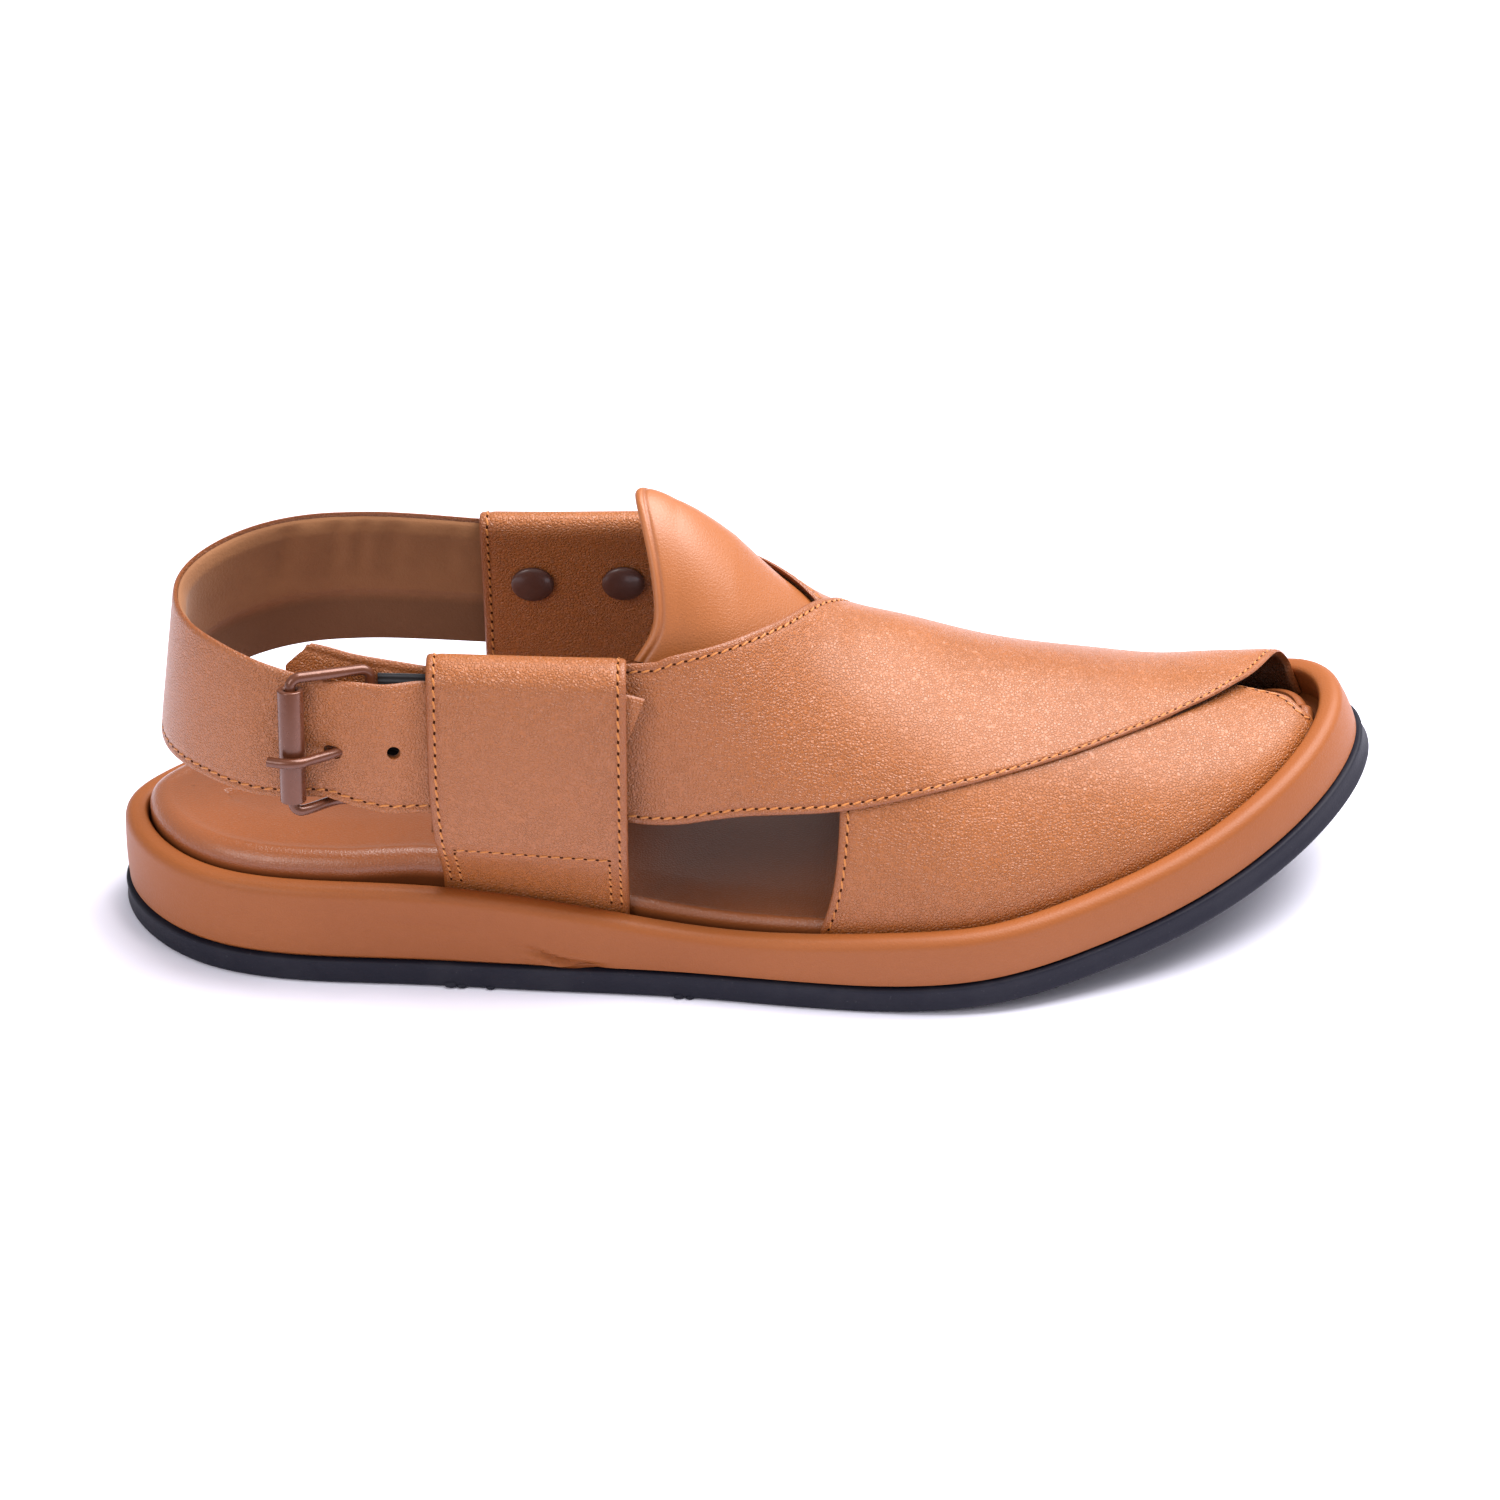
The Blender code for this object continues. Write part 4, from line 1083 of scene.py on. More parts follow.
def settled(piece: Piece, finish: Finish, slot: Slot | None = None, *nodes: str) -> Piece:
    """Gives a finished piece its material, its body and what it stands for.

    Args:
        piece: The finished piece, in the row's frame.
        finish: Its material.
        slot: The record's slot that the finish belongs to; not used.
        nodes: The CAD nodes that it replaces.

    Returns:
        The same piece.
    """
    piece.data.materials.clear()
    piece.data.materials.append(finish)
    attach(piece, "root")
    if nodes:
        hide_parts(*nodes)
    LOG.info("%s: %d faces", piece.name, len(piece.data.polygons))
    return piece


def bell(distance: Array, width: float, centre: float = 0.0) -> Array:
    """1 at the centre, and a soft fall to nothing on both sides of it."""
    return np.exp(-((distance - centre) / width) ** 2)


@dataclass
class Hide:
    """A cut of leather as rows and columns of points, with outward normals."""

    points: Array
    flip: bool = False

    def normals(self) -> Array:
        """Outward normals at the points.

        Returns:
            The normals, of length 1.
        """
        turned = np.cross(np.gradient(self.points, axis=0), np.gradient(self.points, axis=1))
        turned /= np.linalg.norm(turned, axis=-1, keepdims=True) + 1e-15
        return -turned if self.flip else turned

    def from_rear(self) -> Array:
        """Distance of each point from its row's first point."""
        steps = np.linalg.norm(np.diff(self.points, axis=1), axis=2)
        return np.concatenate([np.zeros((len(steps), 1)), np.cumsum(steps, axis=1)], axis=1)

    def from_edge(self, side: Side) -> Array:
        """Distance of each point from one long edge."""
        rear = self.from_rear()
        return rear if side is Side.REAR else rear[:, -1:] - rear

    def raised(self, height: Array) -> "Hide":
        """The same cut with its points moved out along their normals."""
        return Hide(self.points + self.normals() * np.asarray(height)[..., None], self.flip)

    def creased(self, folds: Table) -> "Hide":
        """The same cut with soft troughs, each with a low ridge beside it.

        Args:
            folds: Rows of start x and height, end x and height, depth and width. They mark only the
                shoe's outer side.

        Returns:
            The creased cut.
        """
        height = np.zeros(self.points.shape[:2])
        flat = self.points[..., [0, 2]]
        outer_side = self.points[..., 1] < 0
        for x0, z0, x1, z1, depth, width in folds:
            start, run = np.array([x0, z0]), np.array([x1 - x0, z1 - z0])
            share = (flat - start) @ run / (run @ run)
            away = np.linalg.norm(flat - start - np.clip(share, 0, 1)[..., None] * run, axis=-1)
            fade = np.sin(math.pi * np.clip(share, 0.04, 0.96)) ** 0.6
            height -= depth * fade * bell(away, width)
            height += 0.4 * depth * fade * bell(away, width, 1.9 * width)
        return self.raised(height * outer_side)

    def line(self, side: Side, inset: float, first: int = 0, last: int | None = None) -> tuple[Array, Array]:
        """A line along a long edge.

        Args:
            side: The edge that it follows.
            inset: Its distance from the edge.
            first: The first row.
            last: The row after the last one.

        Returns:
            The line's points and the normals there.
        """
        away, normals = self.from_edge(side), self.normals()
        path, out = [], []
        for r in range(*slice(first, last).indices(len(self.points))):
            order = slice(None) if side is Side.REAR else slice(None, None, -1)
            known = away[r][order]
            path.append([np.interp(inset, known, self.points[r, order, k]) for k in range(3)])
            out.append([np.interp(inset, known, normals[r, order, k]) for k in range(3)])
        return np.array(path), np.array(out)

    def piece(self, name: str, wall: float = 0.0, burnish_and_shade: Array | None = None,
              closed: bool = False) -> Piece:
        """Makes the cut a mesh in the row's frame.

        Args:
            name: The piece's name.
            wall: Its thickness, inwards.
            burnish_and_shade: How dark and smooth each point is, from 0 to 1.
            closed: Whether the last column meets the first one.

        Returns:
            The new piece.
        """
        points = self.points
        wear_and_shade = np.zeros(points.shape[:2]) if burnish_and_shade is None else burnish_and_shade
        if closed:
            points, wear_and_shade = np.concatenate([points, points[:, :1]], 1), np.concatenate([wear_and_shade, wear_and_shade[:, :1]], 1)
        rows, columns = points.shape[:2]
        nothing_selected()
        bpy.ops.mesh.primitive_grid_add(x_subdivisions=columns - 1, y_subdivisions=rows - 1, size=1.0)
        piece = bpy.context.object
        piece.name = name
        piece.data.name = name
        piece.data.vertices.foreach_set("co", (points + SHIFT).reshape(-1).astype(np.float32))
        # Each point's darkness: burnish at edges and seams, and painted shade in grooves and hollows
        trait = piece.data.attributes.new("burnish_and_shade", "FLOAT", "POINT")
        trait.data.foreach_set("value", np.clip(wear_and_shade, 0, 1).reshape(-1).astype(np.float32))
        piece.data.update()
        bpy.ops.object.mode_set(mode="EDIT")
        bpy.ops.mesh.select_all(action="SELECT")
        if not self.flip:
            bpy.ops.mesh.flip_normals()
        if closed:
            bpy.ops.mesh.remove_doubles(threshold=WELD)
        bpy.ops.object.mode_set(mode="OBJECT")
        if wall:
            outer = len(piece.data.vertices)
            applied(piece, "SOLIDIFY", thickness=wall, offset=-1.0, use_quality_normals=True)
            inside = piece.data.attributes.new("inside", "FLOAT", "POINT")
            behind = np.arange(len(piece.data.vertices)) >= outer
            inside.data.foreach_set("value", behind.astype(np.float32))
        smoothed(piece)
        return piece


def rolled(distance: Array, radius: float, depth: float) -> Array:
    """How far a turned edge falls away at a distance from it."""
    share = np.clip(1 - distance / radius, 0, 1)
    return depth * (1 - np.sqrt(1 - share ** 2))


def seamed(distance: Array, inset: float = SEAM_INSET, depth: float = 0.00022,
           width: float = 0.0007) -> Array:
    """Depth of the groove that a row of stitches pulls into leather."""
    return depth * bell(distance, width, inset)


def burnished(near: Array) -> Array:
    """How dark leather is at a distance from its edge: most at the edge, and a little along the seam."""
    return 0.9 * bell(near, 0.0009) + 0.35 * bell(near, 0.0009, SEAM_INSET)


@dataclass
class Seam:
    """A row of lockstitches with needle holes between them."""

    name: str
    path: Array
    normals: Array
    pitch: float = STITCH_PITCH
    slant: float = 0.24
    sink: float = 0.00006
    hole_half: tuple[float, float, float] = (0.00046, 0.00036, 0.00016)
    hole_lift: float = -0.00002
    squareness: float = 0.7

    def build(self, wardrobe: Wardrobe) -> list[Piece]:
        """Sews the row.

        Args:
            wardrobe: The finishes.

        Returns:
            The threads and the holes, as two pieces.
        """
        steps = np.linalg.norm(np.diff(self.path, axis=0), axis=1)
        run = np.concatenate([[0.0], np.cumsum(steps)])
        count = max(2, int(run[-1] / self.pitch))
        at = (np.arange(count) + 0.5) * run[-1] / count
        holes = np.arange(count + 1) * run[-1] / count
        stitch_half = (0.39 * self.pitch, 0.5 * THREAD_DIAMETER, 0.42 * THREAD_DIAMETER)
        threads = self.set_along("thread", run, at, stitch_half, 0.0, True)
        marks = self.set_along("hole", run, holes, self.hole_half, self.hole_lift, False)
        return [settled(threads, wardrobe.thread), settled(marks, wardrobe.hole)]

    def set_along(self, kind: str, run: Array, at: Array, half: tuple[float, float, float], lift: float,
                  slanted: bool) -> Piece:
        """Copies one small rounded form to each place along the row.

        Args:
            kind: Word that ends the piece's name.
            run: Distance along the path at each of its points.
            at: Distances where the copies go.
            half: Half sizes of the form: along, across and out.
            lift: How far it lies above the leather.
            slanted: Whether it is turned like a lockstitch.

        Returns:
            All copies as one piece.
        """
        nothing_selected()
        bpy.ops.mesh.primitive_uv_sphere_add(segments=8, ring_count=6, radius=1.0)
        seed = bpy.context.object
        seed.name = "%s_%s" % (self.name, kind)
        shape = np.array([corner.co for corner in seed.data.vertices])
        faces = [tuple(face.vertices) for face in seed.data.polygons]
        shape[:, [0, 2]] = shape[:, [2, 0]]
        flat = np.sign(shape[:, 0]) * np.abs(shape[:, 0]) ** self.squareness
        shape = np.column_stack([flat, shape[:, 1], shape[:, 2]]) * half
        tick = 0.0004
        points, cells = [], []
        for number, place in enumerate(at):
            centre, before, after, out = (
                np.array([np.interp(where, run, data[:, k]) for k in range(3)])
                for where, data in ((place, self.path), (place - tick, self.path), (place + tick, self.path),
                                    (place, self.normals))
            )
            ahead = after - before
            ahead /= np.linalg.norm(ahead) + 1e-12
            out -= ahead * (out @ ahead)
            out /= np.linalg.norm(out) + 1e-12
            beside = np.cross(out, ahead)
            if slanted:
                cosine, sine = math.cos(self.slant), math.sin(self.slant)
                ahead, beside = ahead * cosine + beside * sine, beside * cosine - ahead * sine
            base = centre + out * (lift + (0.35 * half[2] if slanted else 0.0) - self.sink) + SHIFT
            points.append(base + shape @ np.array([ahead, beside, out]))
            cells += [tuple(number * len(shape) + i for i in face) for face in faces]
        seed.data.clear_geometry()
        seed.data.from_pydata(np.concatenate(points), [], cells)
        chosen(seed)
        bpy.ops.object.mode_set(mode="EDIT")
        bpy.ops.mesh.select_all(action="SELECT")
        bpy.ops.mesh.normals_make_consistent(inside=False)
        bpy.ops.object.mode_set(mode="OBJECT")
        bpy.ops.object.shade_smooth()
        return seed


def wire(name: str, points: Array, diameter: float, cyclic: bool, rings: int = 6) -> Piece:
    """A round bar along points of the row's frame.

    Args:
        name: The piece's name.
        points: Its centre line.
        diameter: Its thickness.
        cyclic: Whether it closes on itself.
        rings: Fineness of its section.

    Returns:
        The bar as a mesh.
    """
    curve = bpy.data.curves.new(name, "CURVE")
    curve.dimensions = "3D"
    curve.bevel_depth = diameter / 2
    curve.bevel_resolution = rings
    curve.use_fill_caps = not cyclic
    run = curve.splines.new("POLY")
    run.points.add(len(points) - 1)
    for point, place in zip(run.points, points):
        point.co = (*place, 1)
    run.use_cyclic_u = cyclic
    chosen(linked(name, curve))
    bpy.ops.object.convert(target="MESH")
    piece = bpy.context.object
    smoothed(piece, 50)
    return piece


def spun(name: str, profile: Table, place: Matrix, steps: int = 48) -> Piece:
    """A profile of radius and height turned about its axis.

    Args:
        name: The piece's name.
        profile: Radius and height, from one end to the other.
        place: Where its axis stands, in the row's frame.
        steps: Sides of the round.

    Returns:
        The turned piece.
    """
    nothing_selected()
    bpy.ops.mesh.primitive_plane_add(size=0.001)
    piece = bpy.context.object
    piece.name = name
    piece.data.name = name
    piece.data.clear_geometry()
    piece.data.from_pydata([(radius, 0.0, level) for radius, level in profile],
                           [(i, i + 1) for i in range(len(profile) - 1)], [])
    bpy.ops.object.mode_set(mode="EDIT")
    bpy.ops.mesh.select_all(action="SELECT")
    bpy.ops.mesh.spin(steps=steps, angle=2 * math.pi, center=(0, 0, 0), axis=(0, 0, 1))
    bpy.ops.mesh.select_all(action="SELECT")
    bpy.ops.mesh.remove_doubles(threshold=WELD)
    bpy.ops.mesh.normals_make_consistent(inside=False)
    bpy.ops.object.mode_set(mode="OBJECT")
    piece.data.transform(place)
    smoothed(piece, 38)
    return piece


# Sole


@dataclass
class Sole:
    """Outsole, wrapped midsole and padded footbed."""

    points: int = 420
    cap_rows: int = 12
    edge_round: float = 0.0011
    heel_pad_round: float = 0.0042
    bead_round: float = 0.0021
    side_hollow: float = 0.0002
    lip_round: float = 0.0007
    wall_bulge: float = 0.00025
    outer_roll: float = 1.6 * RAND_ROLL
    inner_roll: float = 0.9 * RAND_ROLL
    foot_round: float = 0.0006
    top_inset: float = 0.0012
    base_inset: float = 0.0016
    base_sink: float = 0.0002
    wall_clearance: float = 0.0001
    footbed_sag: float = 0.0006
    blob_stretch: tuple[float, float, float] = (1.4, 0.8, 0.7)

    def ring(self, inset: Array | float, height: Array) -> Array:
        """A ring of the sole, in the shoe's frame before it is bent."""
        plan = outline(inset, self.points)
        return np.column_stack([plan, np.broadcast_to(height, len(plan))])

    def capped(self, rings: list[Array], sag: float, first: bool) -> list[Array]:
        """Rings that close a form over its middle.

        Args:
            rings: The form's rings.
            sag: How far the middle lies below the ring.
            first: Whether the cap goes before the first ring.

        Returns:
            The rings with those of the cap.
        """
        edge = rings[0] if first else rings[-1]
        mirror = np.roll(edge[::-1], 1, axis=0)
        middle = (edge + mirror) / 2
        extra = []
        for share in np.linspace(0, 1, self.cap_rows + 1)[1:]:
            ring = edge + (middle - edge) * share
            ring[:, 2] -= sag * math.sin(math.pi / 2 * share)
            extra.append(ring)
        return [*extra[::-1], *rings] if first else [*rings, *extra]

    def formed(self, name: str, rings: list[Array], folds: Table = (),
               burnish_and_shade: Array | None = None) -> Piece:
        """Makes closed rings a piece.

        Args:
            name: The piece's name.
            rings: Its rings, before they are bent.
            folds: Its creases.
            burnish_and_shade: How dark and smooth each point is.

        Returns:
            The piece.
        """
        hide = Hide(bend(np.array(rings)), flip=True)
        if folds:
            hide = hide.creased(folds)
        return hide.piece(name, burnish_and_shade=burnish_and_shade, closed=True)

    def outsole(self) -> Piece:
        """Rubber unit with softly rounded edges.

        Returns:
            The outsole.
        """
        turn = np.linspace(0, math.pi / 2, 5)
        rings = [self.ring(self.edge_round * (1 - math.sin(t)), self.edge_round * (1 - math.cos(t)))
                 for t in turn]
        rings += [self.ring(self.side_hollow * math.sin(math.pi * share), share * OUTSOLE_THICKNESS)
                  for share in (0.35, 0.5, 0.7)]
        top = OUTSOLE_THICKNESS - self.lip_round
        rings += [self.ring(self.lip_round * (1 - math.cos(t)), top + self.lip_round * math.sin(t))
                  for t in turn]
        rings.append(self.ring(RAND_OUTER + self.top_inset, OUTSOLE_THICKNESS))
        rings = self.capped(self.capped(rings, 0.0, True), 0.0, False)
        return self.formed("outsole_rubber", rings)

    def midsole(self) -> Piece:
        """Wrapped platform with a rolled rand.

        Returns:
            The midsole.
        """
        foot = OUTSOLE_THICKNESS + GAP
        x = outline(0.0, self.points)[:, 0]
        top = rand_top(x)
        rings = [
            self.ring(RAND_OUTER + self.base_inset, foot - self.base_sink),
            self.ring(RAND_OUTER + self.foot_round, foot),
            self.ring(RAND_OUTER + self.wall_clearance, foot + self.foot_round),
        ]
        for share in np.linspace(0.05, 0.95, 28):
            bulge = self.wall_bulge * math.sin(math.pi * share)
            rings.append(self.ring(RAND_OUTER - bulge, foot + share * (top - self.outer_roll - foot)))
        for t in np.linspace(0, math.pi / 2, 8):
            rings.append(self.ring(RAND_OUTER + self.outer_roll * (1 - math.cos(t)),
                                   top - self.outer_roll * (1 - math.sin(t))))
        rings.append(self.ring(RAND_OUTER + 0.62 * RAND_WIDTH, top + 0.00005))
        for t in np.linspace(0, math.pi / 2, 6):
            rings.append(self.ring(RAND_INNER - self.inner_roll * (1 - math.sin(t)),
                                   top - self.inner_roll * (1 - math.cos(t))))
        rings += [self.ring(RAND_INNER + self.wall_clearance, top - share * SEAT_DEPTH)
                  for share in (0.5, 1.0)]
        count = len(rings)
        rings = self.capped(self.capped(rings, 0.0, True), 0.0, False)
        # Darker rows: at the foot of the wall along the outsole, and down the inner wall into the groove as
        # painted shade
        wear_and_shade = np.zeros((len(rings), self.points))
        wear_and_shade[self.cap_rows:self.cap_rows + 3] = 0.8
        wear_and_shade[self.cap_rows + count - 5:] = 0.9
        return self.formed("midsole_leather", rings, MIDSOLE_FOLDS, wear_and_shade)

    def footbed(self) -> Piece:
        """Padded insole with a rolled bead and a full heel pad.

        Returns:
            The footbed.
        """
        ring = outline(0.0, self.points)
        x = ring[:, 0]
        share = np.clip((x / LENGTH - HEEL_PAD_END) / (TAIL_START - HEEL_PAD_END), 0, 1)
        beside = np.where(np.arange(self.points) > self.points // 2, INNER_BASE, OUTER_BASE)
        side = RAND_INNER + FOOTBED_CLEARANCE + share * (beside - RAND_INNER)
        heel = 1 - smooth_step(0.27, 0.40, x / LENGTH)
        radius = self.bead_round + (self.heel_pad_round - self.bead_round) * heel
        radius = np.minimum(radius, 0.46 * (footbed_top(x) - rand_top(x) + SEAT_DEPTH))
        low, top = rand_top(x) - SEAT_DEPTH + GAP, footbed_top(x)
        rings = [self.ring(side + self.foot_round, low), self.ring(side, low + self.foot_round)]
        rings += [self.ring(side, low + rise * (top - radius - low)) for rise in (0.4, 0.8)]
        for t in np.linspace(0, math.pi / 2, 9):
            rings.append(self.ring(side + radius * (1 - math.cos(t)), top - radius * (1 - math.sin(t))))
        for step in (0.12, 0.25, 0.4, 0.55, 0.75, 1.0, 1.4, 2.0, 2.8):
            dip = 2.2 * BEAD_DEPTH * math.sin(math.pi / 2 * min(1, 1.8 * step)) * (1 - 0.75 * heel)
            rings.append(self.ring(side + radius + step * BEAD_WIDTH, top - dip))
        rings = self.capped(self.capped(rings, 0.0, True), self.footbed_sag, False)
        # The footbed's lower side, down in the groove beside the rand, is darkened as painted shade
        wear_and_shade = np.zeros((len(rings), self.points))
        wear_and_shade[:self.cap_rows + 4] = 1.0
        return self.formed("footbed_pad", rings, burnish_and_shade=wear_and_shade)

    def flash(self) -> Piece:
        """Small blobs of rubber that the mould left on the outsole's lower edge.

        Returns:
            The blobs as one piece.
        """
        nothing_selected()
        made = []
        ring = bend(self.ring(0.0, np.full(self.points, 0.0009)))
        half = ring[:self.points // 2]
        for x, radius in MOULD_BLOBS:
            y = float(np.interp(x, half[:, 0], half[:, 1]))
            bpy.ops.mesh.primitive_ico_sphere_add(subdivisions=3, radius=radius, location=(
                x + SHIFT[0], y + SHIFT[1] + 0.2 * radius, radius * 0.75))
            blob = bpy.context.object
            bpy.ops.object.mode_set(mode="EDIT")
            bpy.ops.transform.resize(value=self.blob_stretch)
            bpy.ops.object.mode_set(mode="OBJECT")
            made.append(blob)
        for blob in made:
            blob.select_set(True)
        bpy.context.view_layer.objects.active = made[0]
        bpy.ops.object.join()
        piece = bpy.context.object
        bpy.ops.object.transform_apply(location=True, rotation=True, scale=True)
        piece.name = "outsole_flash"
        smoothed(piece)
        return piece

    def build(self, wardrobe: Wardrobe) -> None:
        """Makes and dresses the sole.

        Args:
            wardrobe: The finishes.
        """
        settled(self.outsole(), wardrobe.rubber, Slot.RUBBER, "outsole")
        settled(self.flash(), wardrobe.rubber, Slot.RUBBER)
        settled(self.midsole(), wardrobe.rand, Slot.RAND, "midsole")
        settled(self.footbed(), wardrobe.footbed, Slot.FOOTBED, "insole")


# Upper


@dataclass
class Panel:
    """One of the two crossing straps, with a stitched turned edge on both sides."""

    name: str
    rear: Edge
    front: Edge
    lift: tuple[float, ...]
    out: float
    flip: bool
    rows: int = 220
    columns: int = 84
    edge_depth: float = 0.0006
    edge_radius: float = 0.0014
    curl: float = 0.0
    corner_cut: float = 0.0
    corner_share: float = 0.18

    def hide(self) -> Hide:
        """The panel's outer face.

        Returns:
            The cut, bent to the toe spring, with its skirt beside the footbed.
        """
        steps = np.arange(len(self.rear))
        at = np.linspace(0, steps[-1], self.rows)
        skin = self.out + PANEL_WALL
        front_skin = skin + TOE_LIFT * np.array(self.lift)
        places = (*FORM.traced(self.rear, skin), *FORM.traced(self.front, front_skin), self.lift)
        rear_x, rear_angle, front_x, front_angle, lift = (
            spline(steps, values, at)[:, None] for values in places
        )
        rear_angle, front_angle = np.clip(rear_angle, 0, 180), np.clip(front_angle, 0, 180)
        across = crowded(self.columns)[None, :]
        x = LENGTH * (rear_x + (front_x - rear_x) * across)
        tab = smooth_step(steps[-1] - 0.5, steps[-1], at)[:, None]
        x = x + self.corner_cut * tab * np.clip(1 - across / self.corner_share, 0, 1)
        angle = rear_angle + (front_angle - rear_angle) * across
        raised = np.clip((across - 0.5) / 0.5, 0, 1) ** 2 * np.clip(lift, 0, None) * TOE_LIFT
        toe = smooth_step(0.60, 0.80, front_x) * smooth_step(0.80, 1.0, across)
        grid = FORM.over(x, angle, skin + raised + self.curl * toe)
        skirt = []
        for share in np.linspace(1, 0, SKIRT_ROWS + 1)[:-1]:
            row = grid[0].copy()
            row[:, 2] = rand_top(row[:, 0]) - share * (SEAT_DEPTH - GAP)
            skirt.append(row)
        return Hide(bend(np.concatenate([np.array(skirt), grid])), self.flip)

    def build(self, wardrobe: Wardrobe) -> Hide:
        """Makes and dresses the panel.

        Args:
            wardrobe: The finishes.

        Returns:
            Its finished face, for the seams.
        """
        hide = self.hide()
        rear, front = hide.from_edge(Side.REAR), hide.from_edge(Side.FRONT)
        near = np.minimum(rear, front)
        fall = rolled(near, self.edge_radius, self.edge_depth) + seamed(rear) + seamed(front)
        hide = hide.raised(-fall)
        piece = hide.piece(self.name, PANEL_WALL, burnished(near))
        settled(piece, wardrobe.strap, Slot.LEATHER, "upper")
        return hide


@dataclass
class Tongue:
    """Smooth instep piece under the crossing."""

    rows: int = 110
    columns: int = 84
    edge_radius: float = 0.0014
    edge_depth: float = 0.0011
    rim: float = 0.0020
    groove_depth: float = 0.00030
    groove_width: float = 0.0005
    wall_trim: float = 0.0002

    def build(self, wardrobe: Wardrobe) -> None:
        """Makes the tongue.

        Args:
            wardrobe: The finishes.
        """
        behind_loops = -(GAP + PANEL_WALL + GAP)
        along, turn = FORM.traced(TONGUE_REAR, behind_loops)
        angle = np.linspace(turn[0], turn[-1], self.rows)[::-1, None]
        rear = spline(turn, along, angle)
        share = crowded(self.columns)[None, :]
        x = LENGTH * (rear + (TONGUE_FRONT - rear) * share)
        depth = np.interp(x / LENGTH, [0.448, 0.490], [behind_loops, -GAP])
        hide = Hide(bend(FORM.over(x, angle, depth)))
        near = hide.from_edge(Side.REAR)
        groove = bell(near, self.groove_width, self.rim)
        hide = hide.raised(-rolled(near, self.edge_radius, self.edge_depth) - self.groove_depth * groove)
        # The groove behind the rolled rim is darkened as painted shade
        piece = hide.piece("tongue_leather", TONGUE_WALL - self.wall_trim, 0.55 * groove)
        settled(piece, wardrobe.smooth, Slot.LEATHER, "tongue")


